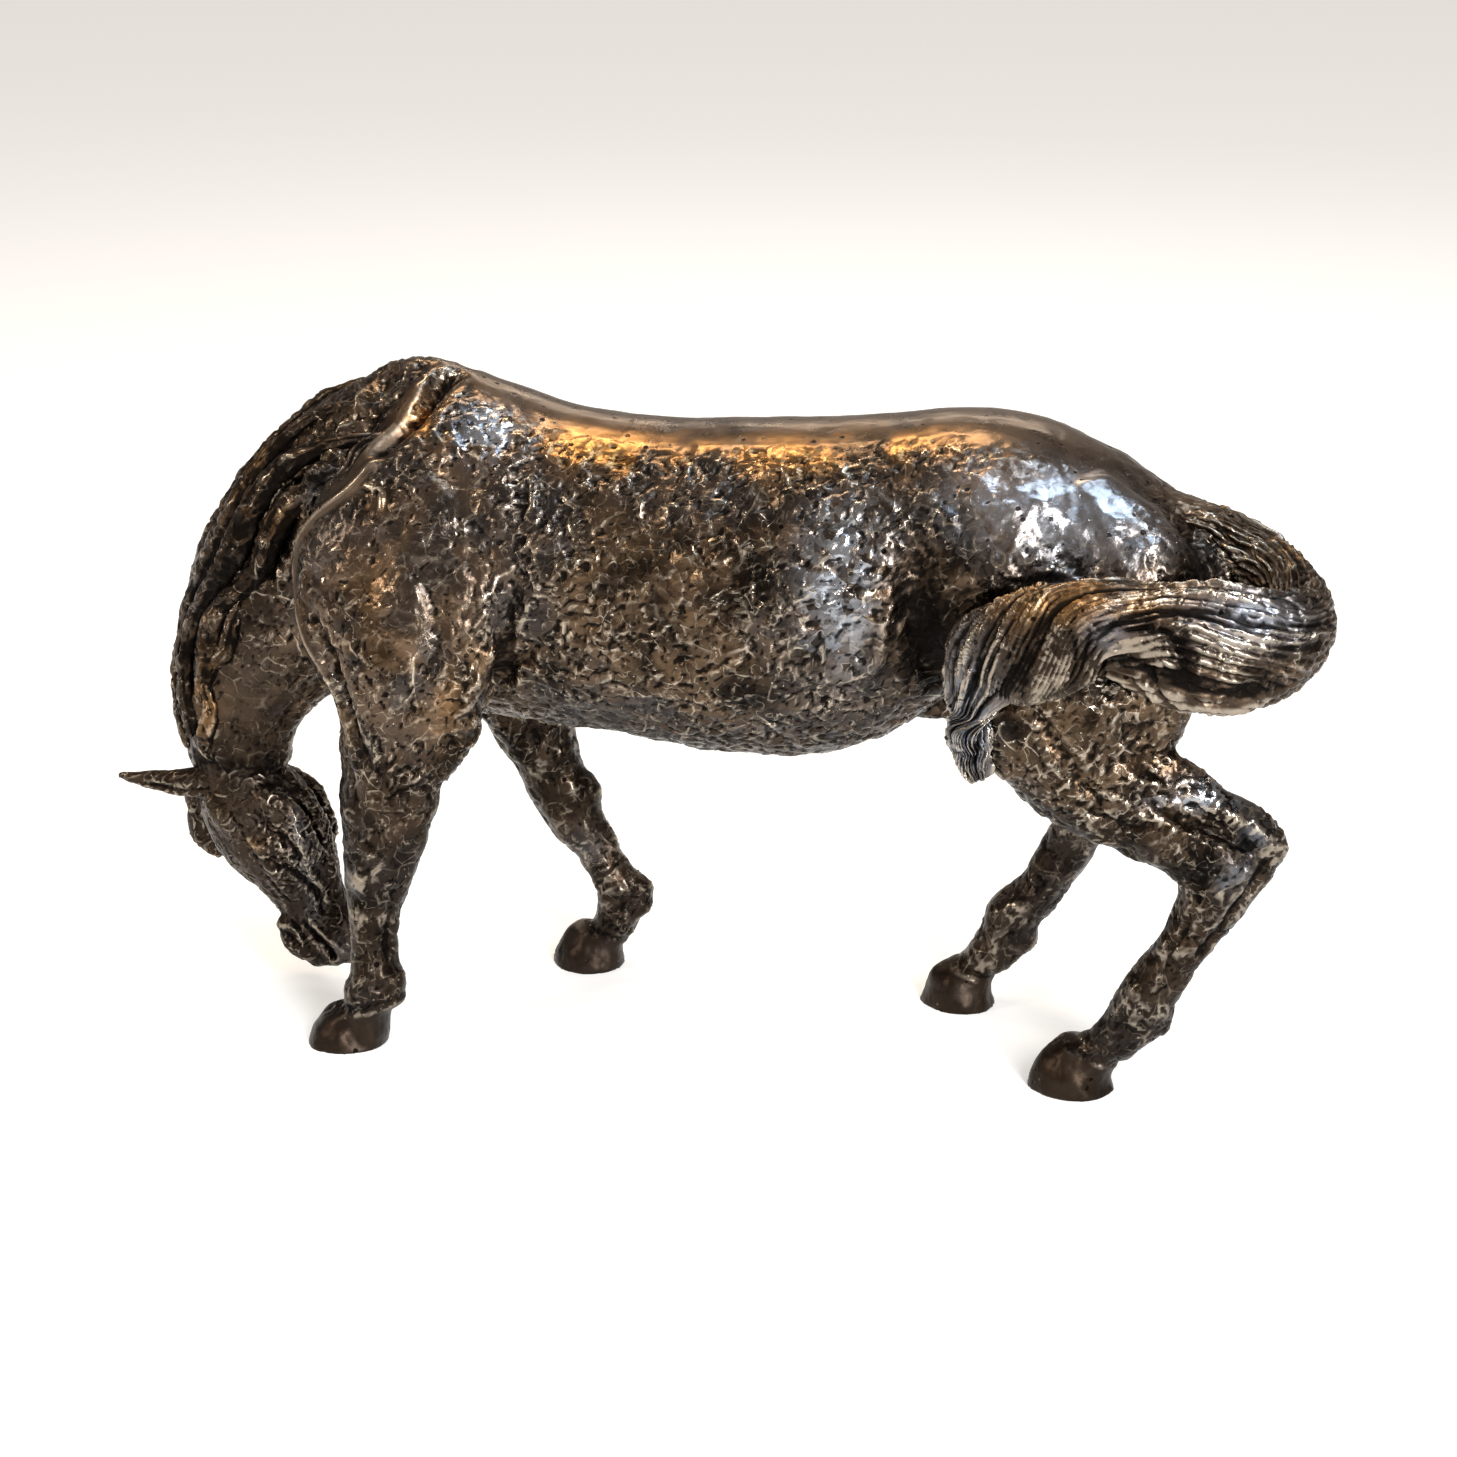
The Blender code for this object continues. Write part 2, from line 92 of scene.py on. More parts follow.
camera = linked("camera", bpy.data.cameras.new("camera"))
back = Vector((
    math.sin(CAMERA_TURN) * math.cos(CAMERA_RISE),
    -math.cos(CAMERA_TURN) * math.cos(CAMERA_RISE),
    math.sin(CAMERA_RISE),
))
camera.location = CAMERA_TARGET + back * CAMERA_DISTANCE
camera.rotation_euler = (-back).to_track_quat("-Z", "Y").to_euler()
camera.data.sensor_width = SENSOR
camera.data.lens = FOCAL_PIXELS * SENSOR / IMAGE_SIDE
bpy.context.scene.camera = camera

for name, (place, towards, width, height, watts, colour) in LIGHTS.items():
    lamp = bpy.data.lights.new(name, "AREA")
    lamp.shape = "RECTANGLE"
    lamp.size = width
    lamp.size_y = height
    lamp.energy = watts
    lamp.color = colour
    light = linked(name, lamp)
    light.location = place
    light.rotation_euler = (Vector(towards) - Vector(place)).to_track_quat("-Z", "Y").to_euler()

world = bpy.data.worlds.new("studio")
world.use_nodes = True
world.node_tree.nodes["Background"].inputs["Color"].default_value = WORLD_COLOUR
bpy.context.scene.world = world
bpy.context.scene.view_settings.view_transform = "Standard"

floor_mesh = bpy.data.meshes.new("floor")
corners = [(x * FLOOR_REACH, y * FLOOR_REACH, 0.0) for x, y in ((-1, -1), (1, -1), (1, 1), (-1, 1))]
floor_mesh.from_pydata(corners, [], [(0, 1, 2, 3)])
floor = linked("floor", floor_mesh)
floor_paint = bpy.data.materials.new("pale_floor")
floor_paint.use_nodes = True
floor_shader = floor_paint.node_tree.nodes["Principled BSDF"]
floor_shader.inputs["Base Color"].default_value = FLOOR_COLOUR
floor_shader.inputs["Roughness"].default_value = FLOOR_ROUGHNESS
floor_shader.inputs["Emission Color"].default_value = FLOOR_COLOUR
floor_shader.inputs["Emission Strength"].default_value = FLOOR_GLOW
floor_mesh.materials.append(floor_paint)

# The trunk: one long mass of clay over a wire frame, deep in the chest, drawn up at the flank and
# rounded at the croup, with the withers, breast and sheath laid on it. Its ovals all stand upright.
UNITS_IN_LENGTH = 506
UNIT = (cad_high.x - cad_low.x) / UNITS_IN_LENGTH
MIDDLE = np.array((-9.7, -9.9, 4.0))
ACROSS = np.array((0.0, 1.0, 0.0))
UPRIGHT = np.array((0.0, 0.0, 1.0))
SIDES = 48
STEPS = 8
# How far round the dome at a tube's end its two rings lie, as shares of a quarter turn.
DOME = np.array((0.8, 0.45)) * math.pi / 2
TRUNK = (
    (-152, 0, 203, 38, 30), (-140, 0, 207, 59, 38), (-120, 0, 210, 73, 43), (-94, 0, 206, 70, 47),
    (-62, 0, 200.5, 66.5, 51), (-25, 0, 197.5, 66.5, 54), (10, 0, 197, 69, 56),
    (42, 0, 199.5, 68.5, 56), (68, 0, 206, 65, 54), (92, 0, 216, 58, 51), (120, 0, 222.5, 50.5, 50),
    (146, 0, 219.5, 44, 47), (170, 0, 215, 35, 40), (185, 0, 213.5, 25.5, 29),
)
MIDDLE_FORMS = (
    # withers, breast, and sheath
    ((-150, 0, 262, 12, 9), (-126, 0, 274, 11, 9), (-100, 0, 265, 10, 10), (-74, 0, 254, 9, 10)),
    ((-158, -16, 176, 16, 15), (-152, -17, 158, 15, 15), (-138, -20, 146, 12, 12)),
    ((-156, 16, 176, 16, 15), (-148, 17, 158, 15, 15), (-132, 20, 146, 12, 12)),
    ((76, 0, 157, 8, 8), (88, -2, 154, 8, 7), (97, -3, 157, 5, 5)),
    # root of the dock, windpipe
    ((158, 0, 238, 12, 13), (177, 0, 234, 12, 13), (193, -2, 229, 12, 12)),
    ((-158, 0, 158, 12, 12), (-178, 0, 144, 9, 10), (-194, 0, 123, 7, 9), (-197, 0, 107, 6, 8)),
)


def held(values):
    """Values kept from 0 to 1."""
    return np.clip(values, 0, 1)


def curve(rows, at):
    """Rows read at the counts in at: the cubic through the two rows on either side (Catmull-Rom)."""
    rows = np.asarray(rows, float)
    padded = np.vstack((rows[:1], rows, rows[-1:]))
    whole = np.clip(at.astype(int), 0, len(rows) - 2)
    part = (at - whole)[:, None]
    before, start, end, after = (padded[whole + shift] for shift in range(4))
    bend = 2 * before - 5 * start + 4 * end - after
    sway = 3 * start - before - 3 * end + after
    return 0.5 * (2 * start + (end - before) * part + bend * part**2 + sway * part**3)


def unit(vectors):
    """Vectors divided by their own lengths."""
    return vectors / np.maximum(np.linalg.norm(vectors, axis=-1, keepdims=True), 1e-9)


def directions(rows, at, beside, upright=False):
    """At each count: the path's own direction, the direction beside it, and the one square to both."""
    nudge = 0.1
    last = len(rows) - 1
    along = (curve(rows, np.minimum(at + nudge, last)) - curve(rows, np.maximum(at - nudge, 0)))[:, :3]
    if upright:
        along[:, 2] = 0
    along = unit(along)
    side = unit(beside - (along @ beside)[:, None] * along)
    return along, side, np.cross(along, side)


def tube(rows, beside=ACROSS, upright=False, sides=SIDES, steps=STEPS):
    """Rings by sides grid of an oval tube with domed ends, through rows (x, y, z, depth, width).

    A point is centre + side * width * cos(turn) + lift * depth * sin(turn), and in the domes
    the oval shrinks by cos(dome) while its centre moves on by the smaller radius * sin(dome).
    """
    last = len(rows) - 1
    at = np.linspace(0, last, last * steps + 1)
    shrink = np.concatenate((np.cos(DOME), np.ones(len(at)), np.cos(DOME[::-1])))
    reach = np.concatenate((-np.sin(DOME), np.zeros(len(at)), np.sin(DOME[::-1])))
    at = np.concatenate(([0, 0], at, [last, last]))
    row = curve(rows, at)
    along, side, lift = directions(rows, at, beside, upright)
    turn = np.linspace(0, math.tau, sides, endpoint=False)
    centre = row[:, :3] + along * (reach * np.minimum(row[:, 3], row[:, 4]))[:, None]
    wide = (row[:, 4] * shrink)[:, None] * np.cos(turn)
    deep = (row[:, 3] * shrink)[:, None] * np.sin(turn)
    return centre[:, None] + side[:, None] * wide[..., None] + lift[:, None] * deep[..., None]


def closed(grids):
    """Points and faces of tubes given as grids, each closed with a fan of triangles at its ends."""
    points, faces, used = [], [], 0
    for grid in grids:
        rings, sides = grid.shape[:2]
        index = used + np.arange(rings * sides).reshape(rings, sides)
        low, high = index[:-1], index[1:]
        around = np.stack((low, np.roll(low, -1, 1), np.roll(high, -1, 1), high), -1)
        start, end = used + rings * sides, used + rings * sides + 1
        first = np.stack((np.roll(index[0], -1), index[0], np.full(sides, start)), -1)
        final = np.stack((index[-1], np.roll(index[-1], -1), np.full(sides, end)), -1)
        points += [grid.reshape(-1, 3), grid[0].mean(0)[None], grid[-1].mean(0)[None]]
        faces += around.reshape(-1, 4).tolist() + first.tolist() + final.tolist()
        used = end + 1
    return np.concatenate(points), faces


def placed(name, points, faces):
    """An object made from points in drawing units, put in metres in the row frame."""
    mesh = bpy.data.meshes.new(name)
    mesh.from_pydata(((points - MIDDLE) * UNIT).tolist(), [], faces)
    return linked(name, mesh)


body = [tube(TRUNK, upright=True)]
body += [tube(rows) for rows in MIDDLE_FORMS]

# The neck: it arches down from the withers to the throat, thick at the shoulder and flat-sided
# below the crest, where the mane is laid on later.
NECK = (
    (-108, 0, 220, 60, 34), (-133, 0, 216, 62, 34), (-157, 0, 205, 53, 31), (-178, 0, 188, 42.5, 28),
    (-195, 0, 169, 35, 25.5), (-208, 0, 147, 29, 23.5), (-214, 0, 126, 23.5, 21),
    (-214, 0, 106, 21, 18),
)
body.append(tube(NECK))

# The legs: four limbs at different steps, lean below the knee and the hock, with the muscles of
# shoulder, haunch and thigh, the bones of the joints and the cords behind them laid on. The hooves
# are flared cones, ground flat where the figure stands.
NEAR_FORE = (
    (-112, -26, 252, 26, 11), (-118, -32, 230, 42, 16), (-121, -36, 204, 49, 20),
    (-122, -39, 178, 42, 22), (-124, -42, 152, 31, 20), (-130, -44, 128, 22, 17),
    (-133, -46, 106, 20, 15.5), (-136, -47, 87, 16.5, 14), (-137, -48, 76, 15, 13),
    (-138.5, -49, 64, 11, 10), (-139.5, -50, 49, 9.8, 9), (-139.5, -51, 38, 10.5, 9.5),
    (-139.5, -52, 29, 12.5, 11.5), (-144, -52, 17, 9, 10),
)
NEAR_FORE_HOOF = (
    (-146, -52, 12, 10.5, 11.5), (-150, -52.5, 8, 15, 14.5), (-152, -53, -3, 17.5, 16.5),
)
FAR_FORE = (
    (-112, 26, 250, 26, 11), (-116, 32, 226, 40, 16), (-114, 36, 196, 44, 20), (-109, 38, 166, 36, 21),
    (-102, 39, 140, 26, 18), (-95, 40, 118, 18, 15), (-88, 41, 99, 14, 13), (-82, 42, 84, 14, 13),
    (-77, 43, 73, 12, 11.5), (-68, 43, 60, 8.8, 9), (-61, 44, 46, 9.2, 9), (-57, 45, 36, 11.5, 11),
    (-62, 45, 21, 8.5, 9.5),
)
FAR_FORE_HOOF = (
    (-67, 45, 15, 10, 11), (-71, 45.5, 10, 14.5, 14), (-73, 46, -3, 17, 16),
)
NEAR_HIND = (
    (138, -24, 240, 28, 16), (150, -30, 214, 42, 22), (149, -34, 190, 45, 25), (145, -37, 168, 40, 25),
    (151, -39, 148, 30, 22), (168, -40, 133, 22, 17), (187, -40, 121, 18, 14), (204, -40, 110, 16, 13),
    (203, -39, 96, 14, 12), (196, -38, 80, 11, 10), (188, -37, 64, 10.5, 9.5),
    (180, -36, 51, 11.5, 10.5), (175, -35, 39, 11.5, 11), (165, -34, 26, 9.5, 10.5),
)
NEAR_HIND_HOOF = (
    (157, -33, 18, 10.5, 11.5), (151, -32.5, 11, 16, 15.5), (149, -32, -3, 18.5, 17),
)
FAR_HIND = (
    (138, 24, 236, 28, 16), (146, 30, 210, 42, 22), (140, 34, 184, 42, 24), (129, 36, 160, 32, 21),
    (135, 38, 140, 22, 17), (148, 39, 123, 16.5, 14), (151, 39, 108, 15, 13), (145, 39, 93, 12, 11),
    (135, 39, 75, 10.5, 9.5), (126, 38.5, 58, 10, 9.5), (116, 38.5, 46, 11.5, 10.5),
    (111, 38.5, 34, 11, 10.5), (103, 38.5, 23, 9, 10),
)
FAR_HIND_HOOF = (
    (97, 38.5, 16, 10.5, 11.5), (94, 38.5, 10, 15, 14.5), (93, 38.5, -3, 17.5, 16),
)
NEAR_FORMS = (
    # shoulder blade with its front edge, point of shoulder, triceps and elbow
    ((-116, -30, 258, 7, 5), (-136, -37, 237, 8, 6), (-158, -42, 208, 8, 6), (-160, -42, 184, 8, 6)),
    ((-152, -36, 200, 16, 14), (-150, -39, 178, 18, 14), (-144, -41, 158, 12, 11)),
    ((-88, -41, 212, 12, 9), (-98, -45, 190, 16, 10), (-105, -46, 168, 16, 11), (-104, -46, 148, 12, 10)),
    ((-101, -45, 144, 9, 8), (-114, -45, 126, 9, 8)),
    # knee, the bone behind it, and the ergot
    ((-141, -48, 86, 9, 10), (-142, -48, 76, 9, 10)),
    ((-127, -48, 90, 5, 6), (-127, -48, 81, 6, 6)),
    ((-130, -52, 34, 5, 7), (-130, -52, 27, 5, 7)),
    # point of hip, haunch, thigh and the fold of the flank
    ((96, -34, 243, 11, 8), (114, -37, 238, 13, 8), (134, -38, 227, 12, 8)),
    ((152, -34, 226, 18, 12), (170, -34, 212, 18, 13), (180, -37, 192, 15, 13), (174, -40, 164, 14, 12)),
    ((98, -40, 200, 8, 7), (106, -43, 182, 11, 10), (117, -45, 166, 14, 13), (124, -46, 151, 12, 11)),
    ((132, -48, 160, 12, 10), (152, -49, 147, 12, 9), (174, -47, 132, 9, 7)),
    # point of hock and the cord that runs up from it, hock joint, ergot
    ((178, -41, 150, 7, 7), (200, -41, 135, 7, 7), (216, -40, 125, 8, 7), (223, -40, 118, 7, 7)),
    ((223, -40, 117, 7, 7), (217, -39, 105, 7, 7), (206, -38, 86, 5, 6)),
    ((185, -36, 46, 6, 7), (182, -36, 37, 7, 7)),
)
FAR_FORMS = (
    ((-116, 30, 256, 7, 5), (-136, 37, 235, 8, 6), (-156, 42, 206, 8, 6), (-157, 42, 182, 8, 6)),
    ((-150, 36, 196, 16, 14), (-144, 39, 174, 18, 14), (-134, 41, 154, 12, 11)),
    ((-86, 41, 208, 12, 9), (-94, 45, 186, 16, 10), (-98, 46, 162, 15, 11), (-92, 45, 142, 10, 9)),
    ((-87, 42, 92, 8, 9), (-85, 42, 80, 8, 9)),
    ((-74, 42, 92, 5, 6), (-71, 42, 85, 6, 6)),
    ((-48, 45, 40, 5, 7), (-48, 45, 33, 5, 7)),
    ((96, 34, 243, 11, 8), (114, 37, 238, 13, 8), (134, 38, 225, 12, 8)),
    ((150, 34, 220, 18, 12), (164, 34, 206, 18, 13), (170, 38, 188, 15, 13), (162, 40, 164, 14, 12)),
    ((98, 40, 200, 8, 7), (102, 43, 180, 11, 10), (109, 44, 164, 13, 12), (114, 45, 149, 11, 11)),
    ((144, 40, 142, 7, 7), (156, 40, 128, 7, 7), (163, 39, 118, 6, 6.5)),
    ((163, 39, 117, 6, 6.5), (158, 39, 106, 6, 6.5), (147, 39, 88, 5, 6)),
    ((121, 38, 42, 5, 7), (121, 38, 35, 5, 7)),
)
HEELS = (
    ((-140, -52, 20, 7, 10), (-143, -52, 11, 9, 12), (-144, -52, 2, 9, 12)),
    ((-65, 45, 20, 7, 9), (-66, 45, 11, 8.5, 11), (-67, 45, 2, 9, 12)),
    ((161, -33, 20, 7, 9), (157, -33, 12, 9, 12), (156, -32, 2, 9, 12)),
    ((101, 38, 19, 7, 9), (99, 38, 11, 8.5, 11), (99, 38, 2, 9, 12)),
)
HOOVES = (NEAR_FORE_HOOF, FAR_FORE_HOOF, NEAR_HIND_HOOF, FAR_HIND_HOOF)
LEGS = (NEAR_FORE, FAR_FORE, NEAR_HIND, FAR_HIND)
body += [tube(rows) for rows in (*LEGS, *HOOVES, *HEELS, *NEAR_FORMS, *FAR_FORMS)]

# The skin of trunk, neck and legs: the masses run together, the folds and grooves pressed in and the
# veins and ridges drawn out, then strokes of clay all over it, kept in the wax and in the metal. It
# is one casting; for the mesh it is held in three stretches that share their edges.
SKIN_CELL = 1.26
SKIN_ROUNDS = 6
# Where the stretches meet, in drawing units along the barrel.
CUTS = (-38.0, 62.0)
# Lines drawn on the skin: (x, y, z, height, half width), with a negative height pressed in.
NEAR_LINES = (
    # withers, the ridge before it and the hollow of the neck
    ((-108, -8, 283, -3, 3), (-112, -12, 281, -8, 3.6), (-121, -26, 269, -10, 4), (-133, -36, 255, -6, 3.6)),
    ((-119, -4, 284, 0.5, 4), (-127, -18, 274, 1, 4), (-136, -29, 261, 1, 4), (-142, -36, 250, 0.8, 3)),
    ((-138, -12, 275, -2, 6), (-146, -26, 260, -5, 7), (-152, -35, 246, -4, 6)),
    # cavity between mane and shoulder, and the shoulder's sharp front edge
    ((-165, -20, 252, -3, 3), (-173, -27, 238, -8, 5), (-182, -29, 221, -9, 5.5), (-188, -30, 200, -5, 4)),
    ((-120, -31, 264, 1, 2), (-133, -37, 252, 2, 2), (-145, -43, 240, 2.4, 2), (-161, -42, 227, 2.6, 2),
     (-169, -38, 212, 2.6, 2), (-170, -41, 196, 2.4, 2), (-166, -47, 182, 2, 2), (-158, -52, 166, 1.6, 2),
     (-149, -54, 146, 1, 2)),
    # breast beside the foreleg, elbow, back edge of the shoulder
    ((-158, -47, 186, -2, 3), (-152, -53, 174, -4, 3), (-148, -55, 160, -5, 3), (-140, -59, 140, -3, 3),
     (-131, -61, 128, -1, 2.5)),
    ((-75, -36, 250, -1, 4), (-74, -46, 225, -2, 4), (-77, -49, 196, -3, 4), (-85, -42, 166, -3, 4)),
    ((-66, -50, 204, 1, 3), (-78, -50, 186, 2, 4), (-93, -53, 164, 2, 4), (-100, -55, 146, 1, 3)),
    ((-64, -50, 186, -1, 3), (-76, -44, 172, -2.5, 3.5), (-90, -42, 152, -2.5, 3)),
    ((-112, -52, 214, -1, 5), (-106, -56, 192, -2, 5), (-112, -58, 166, -1.6, 4), (-124, -59, 140, -1, 3)),
    ((-138, -46, 236, -1.2, 5), (-132, -52, 214, -1.6, 6), (-140, -54, 190, -1.2, 5)),
    # thigh, fold under it, gaskin and the cord of the hock
    ((124, -70, 184, -2, 4), (143, -61, 157, -3, 3.5), (158, -58, 137, -2.5, 3)),
    ((150, -58, 135, -1.5, 2.5), (162, -57, 129, -2, 2), (178, -55, 128, -1.5, 2)),
    ((170, -52, 146, 1, 2.5), (184, -49, 143, 2, 2.5), (200, -48, 135, 2.2, 2.5), (219, -46, 126, 2, 2.5),
     (227, -42, 119, 1, 2.5)),
    ((176, -54, 138, -2, 2.5), (196, -51, 128, -3.5, 2.5), (214, -47, 119, -3, 2.5)),
    ((221, -46, 113, -1.5, 2), (217, -47, 104, -2.5, 2.2), (209, -47, 90, -2.5, 2), (200, -47, 72, -1.5, 2)),
    ((198, -50, 104, -1, 2), (193, -48, 84, -1.4, 2), (186, -46, 66, -1, 2)),
    # tendon and small bones of the near foreleg
    ((-127, -58, 74, -1.6, 2), (-129, -58, 56, -1.8, 2), (-129, -58, 42, -1.2, 2)),
    ((-136, -62, 92, 1.2, 3), (-130, -60, 84, 1.6, 3.5), (-128, -59, 78, 1.2, 3)),
    ((-141, -62, 84, 1, 3), (-142, -62, 78, 1.4, 3)),
)
FAR_LINES = (
    ((-108, 8, 283, -2, 3), (-112, 12, 281, -6, 4), (-121, 26, 269, -7, 4.5), (-133, 36, 255, -4, 4)),
    ((-165, 22, 250, -3, 3), (-175, 28, 232, -6, 5), (-184, 29, 214, -6, 5), (-190, 29, 196, -4, 4)),
    ((-120, 31, 262, 1, 2), (-143, 43, 238, 2.2, 2), (-160, 43, 222, 2.4, 2), (-167, 43, 196, 2, 2),
     (-158, 52, 164, 1.4, 2)),
    ((-150, 50, 174, -3, 3), (-142, 56, 158, -4, 3), (-126, 59, 138, -2, 3)),
    ((-75, 36, 250, -1, 4), (-73, 46, 225, -2, 4), (-75, 49, 196, -3, 4), (-80, 42, 166, -3, 4)),
    ((118, 62, 180, -2, 4), (130, 60, 156, -3, 3.5), (146, 54, 134, -2.5, 3)),
    ((144, 46, 141, 1.6, 2.5), (156, 46, 128, 2, 2.5), (163, 43, 117, 1.4, 2.5)),
    ((146, 48, 134, -2, 2.5), (154, 46, 122, -2.6, 2.5), (154, 45, 108, -2, 2)),
    ((-70, 48, 80, -1.4, 2), (-56, 50, 58, -1.6, 2), (-50, 51, 42, -1, 2)),
)
BOTH_LINES = (
    # point of the hip, hollow of the flank and the rounded edge of the belly
    ((74, -40, 250, 0.6, 3), (84, -42, 250, 1.6, 3), (93, -45, 245, 1.6, 3), (98, -48, 236, 0.8, 3)),
    ((84, -48, 238, -3, 8), (84, -50, 222, -7, 9), (86, -50, 200, -6, 8), (88, -44, 180, -4, 7)),
    ((76, -54, 214, 1.2, 3), (72, -53, 200, 1.8, 3), (68, -50, 184, 1.6, 3), (60, -47, 172, 1, 3),
     (44, -45, 160, 0.6, 3)),
    ((62, -54, 232, -1, 5), (50, -56, 214, -1.2, 6), (44, -56, 190, -0.8, 5)),
    # ribs, hardly felt
    ((28, -54, 232, -0.5, 4), (22, -57, 210, -0.8, 5), (20, -56, 184, -0.6, 4)),
    ((0, -53, 232, -0.5, 4), (-6, -56, 208, -0.8, 5), (-8, -54, 182, -0.6, 4)),
    # side of the rump
    ((130, -44, 240, -1, 5), (148, -50, 222, -1.8, 6), (152, -54, 204, -1.4, 5)),
)
VEINS = (
    ((-72, -36, 248, 1, 1.1), (-70, -41, 238, 1.5, 1.1), (-74, -45, 229, 1, 0.9), (-70, -46, 224, 1.1, 0.9),
     (-75, -47, 218, 1, 0.9), (-69, -50, 212, 1, 0.9), (-66, -50, 206, 0.6, 0.9)),
    ((-77, -48, 213, 0.8, 0.9), (-83, -49, 209, 1, 0.9), (-85, -50, 204, 0.8, 0.9),
     (-90, -51, 200, 0.5, 0.9)),
    ((-87, -52, 195, 0.8, 0.9), (-91, -53, 190, 1.1, 0.9), (-87, -52, 185, 1, 0.9),
     (-91, -53, 180, 0.6, 0.9)),
    ((-88, 51, 196, 0.8, 0.9), (-84, 52, 188, 1, 0.9), (-89, 52, 180, 0.7, 0.9)),
)
BELLY_VEIN = (
    ((20, -52, 168, 0.5, 1), (0, -50, 163, 0.8, 1), (-20, -49, 164, 0.8, 1), (-44, -46, 160, 0.5, 1)),
)
# Lines along which the skin was stroked smooth: the ridge of the withers and the shoulder's edge.
STROKED_LINES = (
    ((-125, -18, 274, 1, 4), (-134, -29, 261, 1, 5), (-140, -36, 252, 1, 4), (-150, -42, 238, 1, 4)),
    ((-120, -31, 264, 1, 3), (-133, -37, 252, 1, 3), (-145, -43, 240, 1, 3), (-161, -42, 227, 1, 3),
     (-169, -38, 212, 1, 3), (-170, -41, 196, 1, 3), (-166, -47, 182, 1, 3), (-158, -52, 166, 1, 3)),
)
# The crown of each hoof: x, height there, and how it climbs with x.
CORONETS = ((-150, 18, 0.25), (-71, 20, -0.3), (152, 21, -0.35), (95, 20, -0.4))


def run_together(name, grids, cell, rounds):
    """Points and four-sided faces of one even skin round all the tubes, smoothed this many rounds."""
    thing = placed(name, *closed(grids))
    skin = thing.modifiers.new("one_skin", "REMESH")
    skin.mode = "VOXEL"
    skin.voxel_size = cell * UNIT
    seen = thing.evaluated_get(bpy.context.evaluated_depsgraph_get())
    mesh = bpy.data.meshes.new_from_object(seen)
    points = np.empty(len(mesh.vertices) * 3, np.float32)
    mesh.vertices.foreach_get("co", points)
    faces = np.empty(len(mesh.loops), np.int32)
    mesh.loops.foreach_get("vertex_index", faces)
    bpy.data.meshes.remove(mesh)
    bpy.data.objects.remove(thing)
    faces = faces.reshape(-1, 4)
    return smoothed(points.reshape(-1, 3) / UNIT + MIDDLE, faces, rounds), faces


def smoothed(points, faces, rounds):
    """Points moved half way to the mean of their neighbours, this many times over."""
    here, there = faces.ravel(), np.roll(faces, -1, 1).ravel()
    count = np.bincount(here, minlength=len(points))[:, None]
    for _ in range(rounds):
        total = [np.bincount(here, points[there, k], len(points)) for k in range(3)]
        points = 0.5 * points + 0.5 * np.stack(total, 1) / count
    return points


def outward(points, faces):
    """The direction out of the skin at each point: the sum of its faces' own, made one long."""
    a, b, c, d = (points[faces[:, k]] for k in range(4))
    facing = np.cross(c - a, d - b)
    total = np.stack([
        np.bincount(faces.ravel(), np.repeat(facing[:, k], 4), len(points)) for k in range(3)
    ], 1)
    return unit(total)


def drawn(points, normals, lines):
    """Heights of lines drawn on the skin: height * exp(-(distance / half width)^2), summed.

    The distance is measured in the skin, without the part along its normal, and the line
    only reaches skin that is nearer than three half widths.
    """
    heights = np.zeros(len(points))
    for rows in lines:
        last = len(rows) - 1
        line = curve(rows, np.linspace(0, last, last * 12 + 1))
        reach = 3 * line[:, 4].max()
        box = (points > line[:, :3].min(0) - reach) & (points < line[:, :3].max(0) + reach)
        near = np.flatnonzero(box.all(1))
        away = points[near, None] - line[:, :3]
        far = (away**2).sum(2)
        nearest = far.argmin(1)
        pick = np.arange(len(near)), nearest
        above = (away[pick] * normals[near]).sum(1)
        flat = far[pick] - above**2
        width = line[nearest, 4]
        fade = held(2 - np.abs(above) / (2 * width))
        heights[near] += line[nearest, 3] * fade * np.exp(-flat / width**2)
    return heights


def mirrored(lines):
    """The same lines on the other side of the horse."""
    return [[(x, -y, z, height, width) for x, y, z, height, width in rows] for rows in lines]


def scattered(cells, seed):
    """One even random number from 0 to 1 for each whole-numbered cell, the same every time."""
    x, y, z = (cells[:, k].astype(np.int64) for k in range(3))
    mixed = (x * 73856093) ^ (y * 19349663) ^ (z * 83492791) ^ (seed * 15485863)
    mixed = ((mixed ^ (mixed >> 13)) * 1274126177) & 0xFFFFFFFF
    mixed = ((mixed ^ (mixed >> 15)) * 668265263) & 0xFFFFFFFF
    return ((mixed ^ (mixed >> 16)) & 0xFFFFFF) / 0xFFFFFF


def cloud(points, size, seed):
    """Smooth random field from 0 to 1: corner numbers of a lattice of this size, eased between."""
    place = points / size
    cell = np.floor(place)
    part = place - cell
    ease = part * part * (3 - 2 * part)
    total = np.zeros(len(points))
    for corner in np.ndindex(2, 2, 2):
        share = np.prod(np.where(corner, ease, 1 - ease), axis=1)
        total += share * scattered(cell + corner, seed)
    return total


